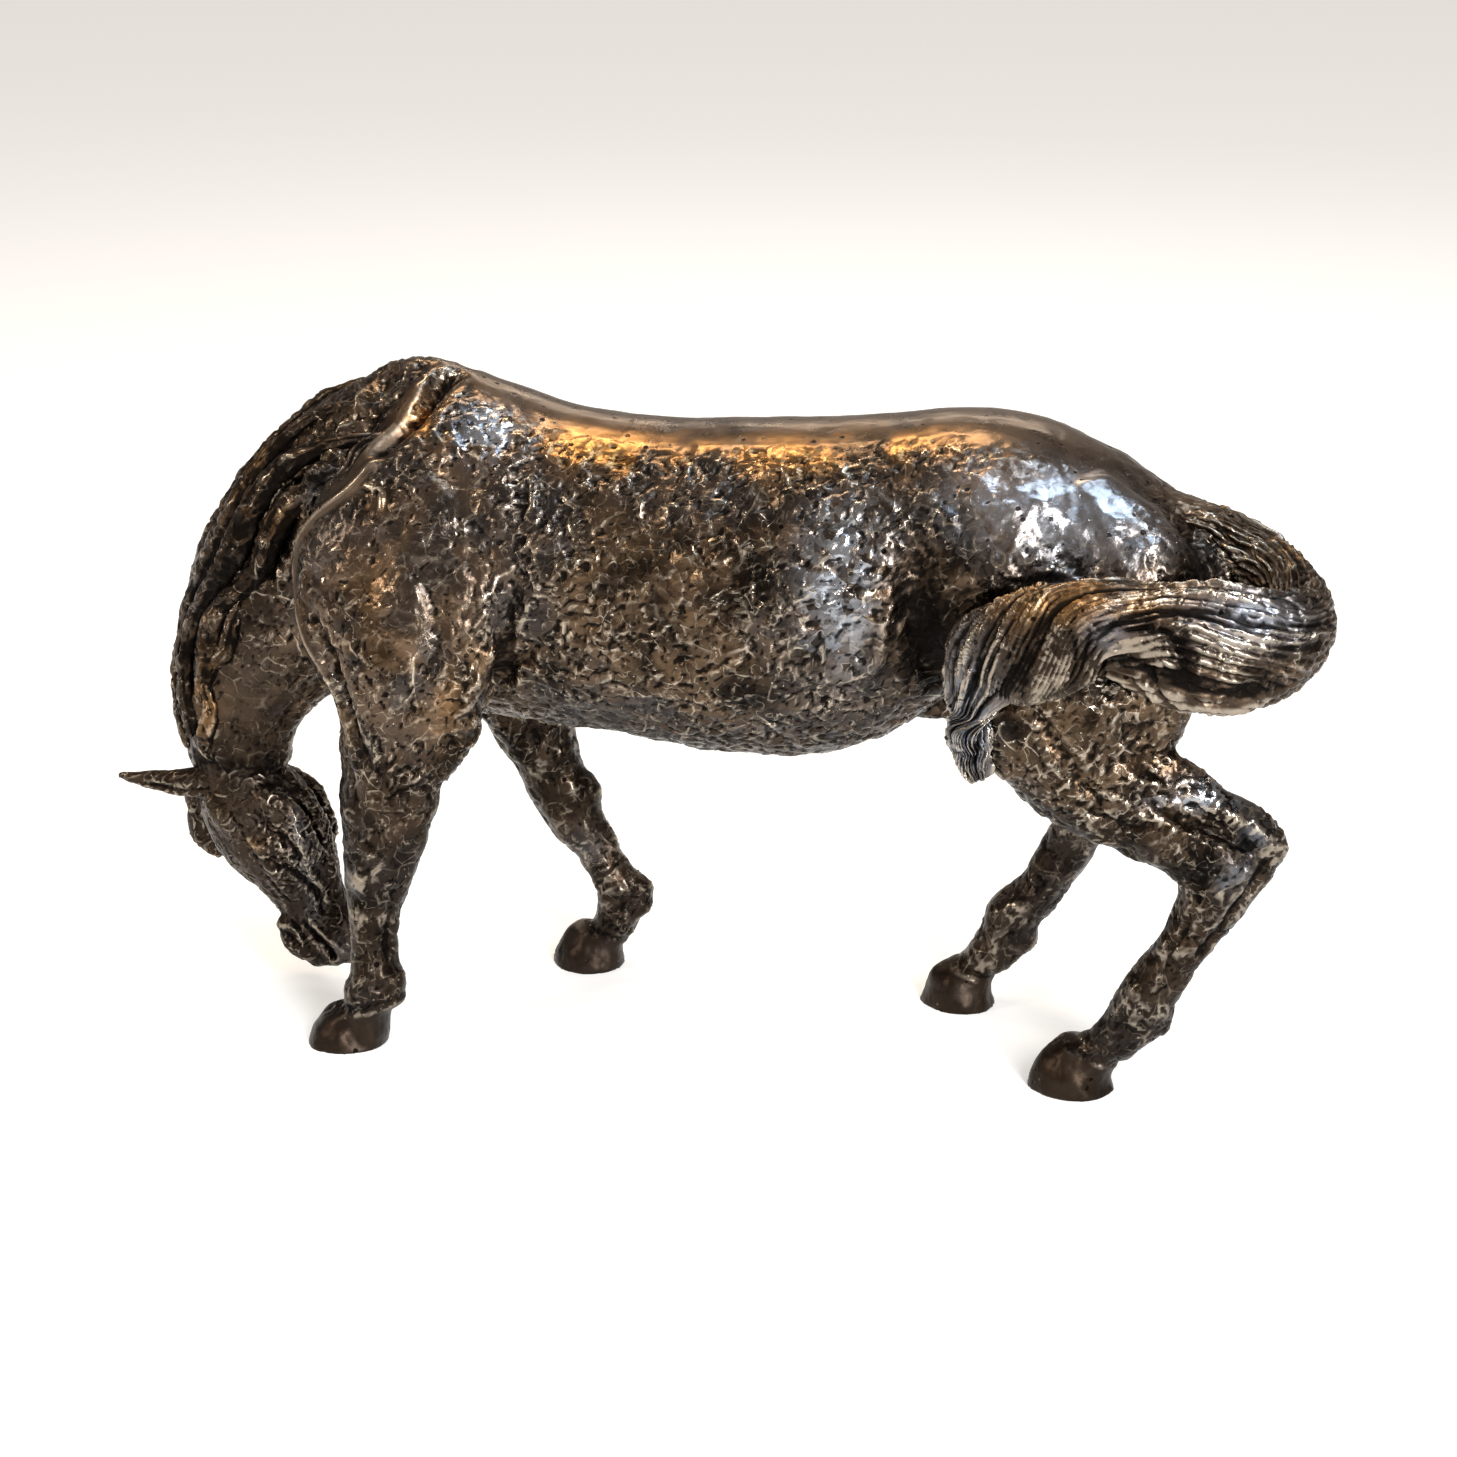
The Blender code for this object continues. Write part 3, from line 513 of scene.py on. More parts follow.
def ribbons(points, normals, cell, length, width, seed):
    """Short bent ribbons of clay, one in each cell of a lattice, as heights from 0 to 1.

    In its own plane a ribbon is an oval of this half length and half width, bent by its
    length squared. Its height is a share for its place in the order in which they were
    laid, one that rises steeply at the oval's rim, and one that tilts it from end to end.
    The highest ribbon shows.
    """
    base = np.floor(points / cell)
    highest = np.zeros(len(points))
    for shift in np.ndindex(3, 3, 3):
        corner = base + np.array(shift) - 1
        chance = [scattered(corner, seed + k) for k in range(8)]
        away = points - (corner + np.stack(chance[:3], 1)) * cell
        above = (away * normals).sum(1)
        close = np.flatnonzero((np.abs(above) < 0.7 * cell) & ((away**2).sum(1) < (1.8 * length)**2))
        if not len(close):
            continue
        away, out, above = away[close], normals[close], above[close]
        heading = np.stack(chance[3:6], 1)[close] - 0.5
        heading = unit(heading - (heading * out).sum(1)[:, None] * out)
        along = (away * heading).sum(1)
        beside = (away * np.cross(out, heading)).sum(1)
        beside += (chance[6][close] - 0.5) * 1.8 / length * along**2
        order = chance[7][close]
        inside = 1 - (along / length)**2 - (beside / (width * (1.2 - 0.5 * order)))**2
        fade = held(2 - np.abs(above) / (0.35 * cell))
        rise = 0.5 * order + 0.3 * held(3 * inside) + 0.2 * (0.5 + 0.5 * along / length)
        height = np.where(inside > 0, rise, 0) * fade
        highest[close] = np.maximum(highest[close], height)
    return highest


def around(points, x, y, z, wide, deep, high):
    """A soft spot: 1 at its middle, falling away as exp(-(distance over its half sizes)^2)."""
    return np.exp(-(((points - (x, y, z)) / (wide, deep, high))**2).sum(1))


def spots(points, rows):
    """The sum of soft spots, each row (strength, x, y, z, half sizes along x, y and z)."""
    return sum(strength * around(points, *spot) for strength, *spot in rows)


def both_sides(points, x, y, z, *sizes):
    """A soft spot and its mirror on the other side of the horse."""
    return around(points, x, y, z, *sizes) + around(points, x, -y, z, *sizes)


def flat_soles(points):
    """Points below the floor, drawn up to it and in towards the middle of their own hoof."""
    points = points.copy()
    for rows in HOOVES:
        middle = np.array(rows[-1][:2])
        under = (points[:, 2] < MIDDLE[2]) & (np.abs(points[:, :2] - middle).max(1) < 30)
        depth = (MIDDLE[2] - points[under, 2]) / (MIDDLE[2] - points[under, 2].min())
        points[under, :2] = middle + (points[under, :2] - middle) * (1 - depth[:, None])
        points[under, 2] = MIDDLE[2]
    return points


def proud(points, faces, normals, rounds=5, full=0.45):
    """How proud each point stands of the skin round it, from 0 in a recess to 1 on a ridge."""
    lift = ((points - smoothed(points, faces, rounds)) * normals).sum(1)
    return held(0.5 + 0.5 * lift / full)


skin, quads = run_together("body_skin", body, SKIN_CELL, SKIN_ROUNDS)
out = outward(skin, quads)
folds = drawn(skin, out, (*NEAR_LINES, *FAR_LINES, *BOTH_LINES, *mirrored(BOTH_LINES)))
skin = skin + out * folds[:, None]
skin = smoothed(skin, quads, 1)
out = outward(skin, quads)

# Where the strokes are full and where the skin was stroked smooth: spine, croup, throat, hooves,
# and along the ridge of the withers and the shoulder's edge.
x, y, z = skin.T
spine = held((out[:, 2] - 0.80) / 0.10) * held((x + 135) / 20)
croup = both_sides(skin, 142, -34, 250, 40, 30, 24)
throat = around(skin, -200, -14, 140, 26, 40, 42)
edges = held(1.6 * drawn(skin, out, STROKED_LINES))
shoulder = around(skin, -125, -50, 200, 34, 24, 50)
rough = (1 - 0.92 * spine) * (1 - 0.74 * held(croup)) * (1 - 0.55 * throat) * (1 - 0.92 * edges)
rough *= 1 - 0.3 * shoulder
lean = held((150 - z) / 40)
rough *= 1 - 0.35 * held((130 - z) / 40)
heights, crowns = np.zeros((2, len(skin)))
for rows, (crown_x, crown_z, slope) in zip(HOOVES, CORONETS):
    level = z - crown_z - slope * (x - crown_x)
    near = (np.hypot(x - rows[1][0], y - rows[1][1]) < 27) & (z < 40)
    crowns += near * np.exp(-(level / 1.5)**2)
    heights -= 0.6 * near * np.exp(-((level - 3.4) / 1.5)**2)
    rough = np.where(near, np.maximum(rough * held((level + 1) / 3), 0.3), rough)
heights += 0.3 * crowns
lumps = cloud(skin, 13.0, 11) - 0.5 + 0.6 * (cloud(skin, 6.0, 12) - 0.5)
knobs = cloud(skin, 9.0, 15) - 0.5
coarse = ribbons(skin, out, 6.4, 6.8, 2.8, 20)
fine = ribbons(skin, out, 4.2, 4.4, 1.6, 40)
patchy = 0.6 + 0.9 * cloud(skin, 24.0, 14)
heights += (1 - 0.9 * edges) * (lumps * (0.3 + 1.2 * rough + held(croup)) + 2.4 * lean * knobs)
heights += rough * patchy * (1.05 * coarse + 0.8 * fine - 0.9)
heights += drawn(skin, out, (*VEINS, *BELLY_VEIN, *mirrored(BELLY_VEIN)))
hair = np.abs(2 * cloud(skin / (9, 1.3, 1.6), 1.0, 71) - 1)
dock = around(skin, 186, -8, 238, 26, 26, 16)
heights += dock * (1.3 * hair - 0.4)
scratch = np.abs(2 * cloud(skin / (2.2, 2.2, 8), 1.0, 72) - 1)
heights += throat * (0.5 * scratch - 0.2)
skin = skin + out * heights[:, None]
skin = flat_soles(skin)
out = outward(skin, quads)
ridges = proud(skin, quads, out)
# Painted shadow: the flank under the tail's end and the gap between the dock and the tail are pressed down
# in the ridge field, so they take the dark of a recess, and are shaded.
painted_shadows = held(spots(skin, ((1.1, 90, -50, 192, 17, 18, 36), (1, 188, -28, 220, 12, 16, 14))))
hoof = held((22 - z) / 6)
ridges = (ridges + 0.45 * lean * knobs) * (1 - 0.75 * painted_shadows)
# The crowns of the hooves are brightened in colour as well as raised: a painted highlight on their rim.
ridges = held(ridges + 0.8 * hoof * (0.5 - ridges) + 0.15 * crowns)


class Socket:
    """A shader value; adding, multiplying and the like make the nodes that work it out."""

    def __init__(self, tree, socket):
        self.tree = tree
        self.socket = socket

    def node(self, kind, settings=None, **inputs):
        """A node of this type: its settings are set first, then its sockets by name or number."""
        made = self.tree.nodes.new(kind)
        for key, value in (settings or {}).items():
            setattr(made, key, value)
        for key, value in inputs.items():
            name = int(key[1:]) if key[0] == "_" and key[1:].isdigit() else key.replace("_", " ")
            target = made.inputs[name]
            if isinstance(value, Socket):
                self.tree.links.new(value.socket, target)
            else:
                target.default_value = value
        return made

    def out(self, kind, output, settings=None, **inputs):
        """One output, by name or number, of a new node made in the same way."""
        return Socket(self.tree, self.node(kind, settings, **inputs).outputs[output])

    def maths(self, operation, *values, kind="ShaderNodeMath", output=0):
        """One Math or Vector Math node on these values."""
        inputs = {f"_{k}": value for k, value in enumerate(values)}
        return self.out(kind, output, {"operation": operation}, **inputs)

    def __add__(self, other):
        return self.maths("ADD", self, other)

    def __sub__(self, other):
        return self.maths("SUBTRACT", self, other)

    def __rsub__(self, other):
        return self.maths("SUBTRACT", other, self)

    def __mul__(self, other):
        return self.maths("MULTIPLY", self, other)

    __radd__ = __add__
    __rmul__ = __mul__

    def between(self, low, high):
        """0 below low, 1 above high, eased between them."""
        eased = {"interpolation_type": "SMOOTHSTEP"}
        return self.out("ShaderNodeMapRange", "Result", eased, Value=self, From_Min=low, From_Max=high)

    def mixed(self, dark, bright, blend="MIX"):
        """A colour from dark to bright as this value goes from 0 to 1."""
        colours = {"data_type": "RGBA", "blend_type": blend}
        return self.out("ShaderNodeMix", 2, colours, Factor=self, _6=dark, _7=bright)


RECESS = (0.005, 0.004, 0.0035, 1.0)
UMBER = (0.024, 0.017, 0.012, 1.0)
BROWN = (0.112, 0.073, 0.044, 1.0)
STEEL = (0.072, 0.066, 0.065, 1.0)
STROKED = (0.135, 0.096, 0.066, 1.0)
SILVER = (0.600, 0.510, 0.400, 1.0)
# Brass, also laid on as a painted warm highlight.
BRASS_AND_WARM_SHEEN = (0.520, 0.260, 0.075, 1.0)
# Silver with a blue cast: rubbed silver, and a painted cool highlight.
SILVER_AND_COOL_SHEEN = (0.420, 0.455, 0.510, 1.0)
# Multiplied in for painted shade and for darker tone.
SHADE_AND_DARK_TONE = (0.28, 0.28, 0.30, 1.0)
# What every point of a piece carries: how proud and rough it is, its brass and painted warm highlight,
# its silver and painted cool highlight, and its painted shade and darker tone.
FIELDS = ("ridge", "rough", "warm", "cool", "dim")


def cast_metal():
    """Dark patinated bronze: brown and black in the recesses, rubbed silver on the ridges.

    The flakes of clay are the cells of bent space round scattered points. Each cell is a small
    plane with its own tilt, height = tilt . (place - point), with its own shade of brown, and
    its raised edge is rubbed bright. Pits and pellets are the middles of other scattered cells,
    and the pellets are lit up in colour as painted glints. Painted shade, painted highlights
    and darker tone are laid into the colour from the fields of each piece.
    """
    material = bpy.data.materials.new("cast_metal")
    material.use_nodes = True
    tree = material.node_tree
    shader = tree.nodes["Principled BSDF"]
    start = Socket(tree, None)
    place = start.out("ShaderNodeTexCoord", "Object")

    def named(name):
        return start.out("ShaderNodeAttribute", "Fac", {"attribute_name": name})

    def noise(scale, detail=2.0, output="Fac", at=place):
        return start.out("ShaderNodeTexNoise", output, Vector=at, Scale=scale, Detail=detail)

    def vector(operation, output, *values):
        return start.maths(operation, *values, kind="ShaderNodeVectorMath", output=output)

    def cells(scale, at):
        """Distance to the middle of the nearest cell, the middle's place, and a number of its own."""
        made = start.node("ShaderNodeTexVoronoi", {"feature": "F1"}, Vector=at, Scale=scale)
        names = ("Distance", "Position", "Color")
        off, middle, colour = (Socket(tree, made.outputs[name]) for name in names)
        return off, middle, start.out("ShaderNodeSeparateColor", "Red", Color=colour), colour

    def flakes(scale, bend, bend_scale):
        """Height in metres, shade from 0 to 1 and bright edge of flakes with this many to a metre."""
        bent = vector("MULTIPLY_ADD", "Vector", noise(bend_scale, 1.0, "Color"), (bend,) * 3, place)
        _, point, shade, chance = cells(scale, bent)
        to_edge = {"feature": "DISTANCE_TO_EDGE"}
        rim = start.out("ShaderNodeTexVoronoi", "Distance", to_edge, Vector=bent, Scale=scale)
        tilt = vector("SUBTRACT", "Vector", chance, (0.5,) * 3)
        height = vector("DOT_PRODUCT", "Value", tilt, vector("SUBTRACT", "Vector", bent, point))
        edge = 1 - rim.between(0.02, 0.11)
        return height, shade, edge * height.between(0.0, 0.25 / scale)

    ridge, rough_skin, warm, cool, dim = (named(name) for name in FIELDS)
    height_1, shade_1, edge_1 = flakes(105.0, 0.016, 55.0)
    height_2, shade_2, edge_2 = flakes(250.0, 0.007, 120.0)
    breaks = noise(110.0, 1.0).between(0.40, 0.60)
    edges = (edge_1 * breaks + edge_2 * (1.1 - breaks) * 0.8) * rough_skin.between(0.25, 0.85)
    edges = edges * (1 - dim * 0.45)
    shade = shade_1 * 0.55 + shade_2 * 0.45
    off_pit, _, _, _ = cells(150.0, place)
    pitted = (1 - off_pit.between(0.10, 0.17)) * (noise(60.0, 1.0) + cool * 0.12).between(0.46, 0.60)
    # Beads of clay, their colour brightened as painted glints.
    off_bead, _, lot, _ = cells(230.0, place)
    beads_and_glints = (1 - off_bead.between(0.07, 0.16)) * lot.between(0.72, 0.76) * rough_skin
    patches = noise(45.0, 3.0)
    drift = noise(14.0, 2.0)
    blots = noise(33.0, 2.0).between(0.54, 0.68) * rough_skin
    streaks = noise(170.0, 2.0, at=vector("MULTIPLY", "Vector", place, (0.14, 1.0, 1.0)))

    ground = (patches.between(0.35, 0.65) * 0.45 + shade * 0.55).between(0.15, 0.85).mixed(UMBER, BROWN)
    ground = (drift.between(0.45, 0.62) * 0.45).mixed(ground, STEEL)
    stroked = streaks.between(0.30, 0.62).mixed(BROWN, STROKED)
    ground = ((1 - rough_skin) * 0.75).mixed(ground, stroked)
    ground = (blots * 0.8).mixed(ground, RECESS)
    # Brass in patches, and painted warm highlight where the skin faces the warm lamp.
    ground = (warm * 0.6 * patches.between(0.38, 0.58)).mixed(ground, BRASS_AND_WARM_SHEEN)
    # Painted cool highlight, with some rubbed silver, where the cool sheen is laid.
    ground = (cool * (shade.between(0.2, 0.7) * rough_skin + (1 - rough_skin) * 0.8)).mixed(ground, SILVER_AND_COOL_SHEEN)
    # Painted shade and darker tone, multiplied into the ground.
    ground = dim.mixed(ground, SHADE_AND_DARK_TONE, "MULTIPLY")
    # Rubbed silver on the ridges and flake edges, and painted glints on the beads.
    rubbed = ridge.between(0.66, 1.0) * 0.44 + edges * 0.55 + beads_and_glints * 0.6
    # The rubbed silver turns brassy where brass or the painted warm highlight is laid.
    bright = (warm * patches.between(0.30, 0.55)).mixed(SILVER, BRASS_AND_WARM_SHEEN)
    colour = (rubbed * (1 - dim * 0.15)).mixed(ground, bright)
    # Dark patina in the recesses; where the ridge field was pressed down for painted shade, this darkening
    # is painted shade.
    hollow = 1 - ridge.between(0.14, 0.52)
    colour = (hollow * 0.92).mixed(colour, RECESS)
    colour = (pitted * 0.9).mixed(colour, RECESS)

    shine = 0.29 - rubbed * 0.16 - cool * 0.05 + hollow * 0.35 + pitted * 0.2 + dim * (1 - rough_skin) * 0.18
    shine = shine + (noise(90.0, 3.0) - 0.5) * 0.2
    height = (height_1 * 0.24 + height_2 * 0.22) * rough_skin + beads_and_glints * 0.0004
    height = height + (noise(330.0, 3.0) - 0.5) * 0.0004 * rough_skin - pitted * 0.0007
    height = height + streaks * (1 - rough_skin) * 0.00012
    bump = start.node("ShaderNodeBump", None, Height=height, Strength=1.0, Distance=1.0)
    tree.links.new(colour.socket, shader.inputs["Base Color"])
    tree.links.new(shine.socket, shader.inputs["Roughness"])
    tree.links.new(bump.outputs["Normal"], shader.inputs["Normal"])
    shader.inputs["Metallic"].default_value = 1.0
    return material


metal = cast_metal()


def dressed(thing, normals, **fields):
    """Give a piece its metal, its smooth shading and its fields, and let it ride on the casting."""
    mesh = thing.data
    for name in FIELDS:
        values = np.zeros(len(mesh.vertices)) + fields.get(name, 0)
        mesh.attributes.new(name, "FLOAT", "POINT").data.foreach_set("value", values.astype(np.float32))
    mesh.materials.append(metal)
    mesh.shade_smooth()
    if normals is not None:
        mesh.normals_split_custom_set_from_vertices(normals.tolist())
    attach(thing, "root")
    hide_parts("horse")


def in_box(points):
    """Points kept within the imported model's own box."""
    low = np.array(cad_low) / UNIT + MIDDLE
    high = np.array(cad_high) / UNIT + MIDDLE
    return np.clip(points, low, high)


WARM_SPOTS = (
    # shoulder, withers, point of the hip, elbow
    (0.2, -125, -50, 200, 34, 24, 50), (1.2, -112, -27, 262, 12, 13, 14),
    (0.6, 108, -34, 250, 10, 10, 12), (0.5, -105, -50, 160, 10, 10, 14),
)
# Painted warm highlight beside the spine, on the skin that faces up towards the warm overhead lamp.
SPINE_HIGHLIGHT_SPOTS = ((1, -30, -26, 258, 60, 14, 9), (1, 60, -26, 264, 34, 14, 8))
COOL_SHEEN_SPOTS = (
    # painted cool highlights, partly rubbed silver: croup, withers, barrel, cord of the hock, hock, hip,
    # point of the hock, far foreleg
    (0.8, 142, -40, 246, 36, 18, 17), (1, -90, -27, 262, 13, 12, 10), (1.2, 55, -54, 228, 13, 14, 34),
    (1.1, 196, -46, 139, 22, 8, 5), (0.8, 209, -46, 108, 6, 9, 8), (0.5, 104, -40, 250, 10, 10, 10),
    (0.6, 218, -46, 124, 5, 9, 6), (0.3, -72, 40, 62, 8, 12, 9),
)


def tints(points, normals):
    """Brass and painted golden highlight, silver and painted bluish highlight: where each is laid, from 0 to
    1.
    """
    upper = held((normals[:, 2] - 0.35) / 0.4) * held((points[:, 2] - 235) / 20)
    warm = upper * spots(points, SPINE_HIGHLIGHT_SPOTS) + spots(points, WARM_SPOTS)
    cool = spots(points, COOL_SHEEN_SPOTS)
    return held(warm), held(cool)


def stretch(name, points, faces, normals, chosen, cuts, **fields):
    """One stretch of a skin as a closed piece: the chosen faces, and a fan over each cut end."""
    used, part = np.unique(faces[chosen], return_inverse=True)
    part = part.reshape(-1, 4)
    here, there = part.ravel(), np.roll(part, -1, 1).ravel()
    edge, back_edge = here * len(used) + there, there * len(used) + here
    bare = ~np.isin(edge, back_edge)
    rim = np.stack((there[bare], here[bare]), 1)
    middles, fans = [], []
    for cut in cuts:
        at_cut = rim[np.abs(points[used[rim[:, 0]], 0] - cut) < 4]
        fans += np.column_stack((at_cut, np.full(len(at_cut), len(used) + len(middles)))).tolist()
        middles.append(points[used[at_cut[:, 0]]].mean(0))
    places = np.vstack((points[used], middles))
    thing = placed(name, in_box(places), part.tolist() + fans)
    ends = np.tile(UPRIGHT, (len(middles), 1))
    fields = {key: np.append(values[used], np.zeros(len(middles))) for key, values in fields.items()}
    dressed(thing, np.vstack((normals[used], ends)), **fields)
    return thing


warm, cool = tints(skin, out)
# Painted shade and darker tone: darker towards the bottom, painted shade on the skin that faces down and in
# the painted shadows, darker on the hooves, throat, head, withers ridge and shoulder's edge, and lighter
# again under the painted cool highlights.
dim = held(0.85 * held((160 - skin[:, 2]) / 50) + 0.6 * held(-out[:, 2]))
withers = around(skin, -135, -28, 262, 10, 14, 20) * edges
dim = np.maximum.reduce((dim, painted_shadows, 0.4 * edges, 0.95 * withers, 0.6 * throat))
dim = np.maximum(dim, 0.95 * held((24 - skin[:, 2]) / 4))
dim = np.maximum(dim, 0.5 * held((-172 - skin[:, 0]) / 20)) * (1 - 0.5 * cool)
face_x = skin[quads, 0].mean(1)
body_fields = dict(ridge=ridges, rough=rough, warm=warm, cool=cool, dim=dim)
stretch("forehand", skin, quads, out, face_x < CUTS[0], CUTS[:1], **body_fields)
stretch("barrel", skin, quads, out, (face_x >= CUTS[0]) & (face_x < CUTS[1]), CUTS, **body_fields)
stretch("hindquarters", skin, quads, out, face_x >= CUTS[1], CUTS[1:], **body_fields)

# The head: lean and long, muzzle close to the ground, with a heavy jowl, open nostrils and parted
# lips, one ear laid back and the other hanging, and tufts of forelock. It is modelled more finely.
HEAD_CELL = 0.62
HEAD_ROUNDS = 9
HEAD_SIDES = 40
HEAD = (
    (-216, 0, 106, 17, 15), (-212, 0, 93, 21, 18), (-205, 0, 80, 25, 18), (-196, 0, 67, 24, 16),
    (-189, 0, 54, 19, 13), (-184, 0, 43, 15.5, 11), (-180, 0, 33, 15, 11.5), (-177, 0, 26, 13, 11),
    (-175, 0, 21, 9, 8.5),
)
# Cheek, brow, bone under the eye, eye and nostril, the same on both sides.
SIDE_FORMS = (
    ((-202, -12, 89, 13, 8), (-193, -12, 79, 15, 8), (-184, -10, 68, 11, 7)),
    ((-221, -12, 92, 6, 5), (-216, -15, 84, 6, 5), (-208, -14, 76, 5, 4)),
    ((-203, -15, 77, 4, 4), (-196, -14, 63, 4, 4), (-190, -11, 51, 3, 3)),
    ((-199, -13.5, 69, 3.5, 4.5), (-195, -14, 64, 3.5, 4.5)),
    ((-193, -7, 34, 5, 4), (-189, -8, 26, 6, 5), (-184, -6, 21, 5, 5)),
)
LIP_FORMS = (
    # upper lip, lower lip and chin
    ((-186, 0, 26, 8, 9), (-182, 0, 19, 7, 9)),
    ((-172, 0, 34, 8, 8), (-169, 0, 24, 7, 8), (-168, 0, 19, 5, 6)),
)
NEAR_EAR = (
    (-220, -9, 99, 7, 6), (-232, -11, 97, 6.5, 5), (-244, -12, 97, 5, 3.5), (-256, -13, 98, 3, 2.4),
    (-263, -13, 98.5, 1.6, 1.6),
)
FAR_EAR = (
    (-222, 10, 96, 6, 5), (-230, 14, 86, 5.5, 5), (-238, 17, 72, 7.5, 4.5), (-239, 18, 61, 6, 4),
    (-233, 18, 53, 2.5, 2.5),
)
FORELOCK = (
    ((-224, -6, 102, 5, 5), (-233, -5, 93, 4, 4), (-235, -4, 82, 2, 2)),
    ((-226, 2, 100, 5, 5), (-236, 4, 90, 4, 3.5), (-240, 6, 82, 2, 2)),
    ((-222, 8, 98, 5, 5), (-234, 10, 90, 3.5, 3.5), (-243, 11, 84, 2, 2)),
)
HEAD_LINES = (
    # temple, eye socket, lids and brow
    ((-204, -19, 92, -1, 4), (-198, -20, 84, -3.4, 5), (-192, -19, 78, -2, 4)),
    ((-202, -18, 67, -1.2, 2), (-197, -18, 65, -1.6, 2.6), (-191, -17, 62, -1, 2)),
    ((-201, -18, 68, 0.8, 1), (-197, -18, 68.5, 1.3, 1), (-192, -17, 66, 1.1, 1), (-188.5, -15, 63, 0.6, 1)),
    ((-200, -18, 63, 0.5, 0.9), (-196, -18, 61.5, 0.8, 0.9), (-191, -16, 61, 0.5, 0.9)),
    ((-204, -19, 76, 1, 2), (-200, -19, 73, 1.6, 2), (-196, -19, 71, 0.8, 2)),
    # jowl: its inner ridge, the dark grooves on both sides, its outer ridge
    ((-187, -14, 93, 1, 1.8), (-184, -17, 86, 2, 1.8), (-183, -17, 79, 2.2, 1.8), (-181, -15, 70, 2, 1.8),
     (-180, -14, 64, 1.4, 1.8)),
    ((-184, -8, 92, -2, 2), (-180.5, -8, 86, -4, 2.2), (-178, -8, 80, -4, 2.2), (-177, -7, 74, -2, 2)),
    ((-190, -19, 79, -1.6, 2), (-186, -18, 73, -3.2, 2.4), (-183, -16, 67, -2.6, 2)),
    ((-182, -16, 66, 1, 1.8), (-180, -12, 60, 1.6, 1.8), (-176, -9, 52, 1.2, 1.8), (-174, -9, 46, 0.6, 1.6)),
    ((-189, -16, 64, -1, 1.6), (-184, -13, 57, -2, 1.8), (-178, -10, 50, -1.8, 1.8),
     (-176, -10, 42, -1, 1.6)),
    # bone of the nose, nostril, lips
    ((-198, -11, 56, 0.6, 1.6), (-193, -11, 46, 0.9, 1.6), (-191, -9, 38, 0.5, 1.6)),
    ((-194, -9, 31, -1, 1.4), (-190.5, -10.5, 28.5, -3, 1.8), (-187.5, -11, 25.5, -1.4, 1.5)),
    ((-196, -8, 33, 0.5, 1), (-191, -9.5, 33, 1.2, 1.1), (-187, -11, 30, 1.1, 1.1),
     (-185.5, -11, 26, 0.6, 1)),
    ((-181, -11, 38, 0.6, 1.1), (-177, -11, 33, 1.2, 1.1), (-172.5, -10, 28, 1.2, 1.1),
     (-169, -8, 23, 0.8, 1)),
    ((-184, -11, 36, -0.6, 1.2), (-180, -11, 31, -2.4, 1.4), (-175.5, -10, 26, -3, 1.5),
     (-173, -8, 19, -3, 1.6)),
)
NEAR_HEAD_LINES = (
    # the near ear's hollow
    ((-226, -14, 96, -0.8, 1.6), (-236, -15, 94.5, -1.6, 1.8), (-248, -15, 96, -1, 1.3)),
)
# Painted highlights on the head: jowl, its outer ridge, cheek, lower lip and chin.
GLINTS = (
    (0.9, -182, -17, 84, 4, 8, 13), (0.7, -171, -8, 83, 5, 9, 12), (0.6, -180, -13, 62, 4, 8, 12),
    (0.8, -170, -8, 22, 5, 6, 7), (0.5, -179, -12, 42, 4, 6, 8),
)
EYES = ((-196, 16.2, 64.6, 3.1), (-196, -16.2, 64.6, 3.1))

pairs = [rows for pair in zip(SIDE_FORMS, mirrored(SIDE_FORMS)) for rows in pair]
head_forms = (HEAD, NEAR_EAR, FAR_EAR, *pairs, *LIP_FORMS, *FORELOCK)
head_tubes = [tube(rows, sides=HEAD_SIDES) for rows in head_forms]
head, head_quads = run_together("head_skin", head_tubes, HEAD_CELL, HEAD_ROUNDS)
out = outward(head, head_quads)
folds = drawn(head, out, (*HEAD_LINES, *mirrored(HEAD_LINES), *NEAR_HEAD_LINES))
head = smoothed(head + out * folds[:, None], head_quads, 1)
out = outward(head, head_quads)
heights = 0.7 * (cloud(head, 6.0, 13) - 0.5) + 0.5 * ribbons(head, out, 4.0, 3.6, 1.1, 60) - 0.15
jowl = both_sides(head, -184, -14, 74, 16, 20, 20)
heights += 0.9 * jowl * (ribbons(head, out, 3.2, 2.6, 0.9, 66) - 0.3)
head = head + out * heights[:, None]
out = outward(head, head_quads)
head_piece = placed("head", in_box(head), head_quads.tolist())
muzzle = held((60 - head[:, 2]) / 30)
glints = spots(head, GLINTS)
# The head takes painted cool highlights at its glints and a painted warm highlight on the brow. It is darker
# in tone, most at the muzzle.
dressed(head_piece, None, ridge=proud(head, head_quads, out, 9, 0.28), rough=0.45, cool=0.4 * glints,
        warm=0.5 * around(head, -202, -18, 74, 5, 6, 3), dim=(0.85 + 0.15 * muzzle) * (1 - 0.75 * glints))

# The eyes: small polished balls set under the brows.
BALL_RINGS = 17
BALL_SIDES = 24


def ball(x, y, z, radius):
    """A ball as a grid of rings: centre + radius * (cos(rise) * (cos(turn), sin(turn)), sin(rise))."""
    rise = np.linspace(-1.45, 1.45, BALL_RINGS)[:, None]
    turn = np.linspace(0, math.tau, BALL_SIDES, endpoint=False)
    grid = np.stack((np.cos(rise) * np.cos(turn), np.cos(rise) * np.sin(turn), np.sin(rise) + 0 * turn), -1)
    return np.array((x, y, z)) + radius * grid


eyes = placed("eyes", *closed([ball(*values) for values in EYES]))
dressed(eyes, None, ridge=0.5, dim=1)

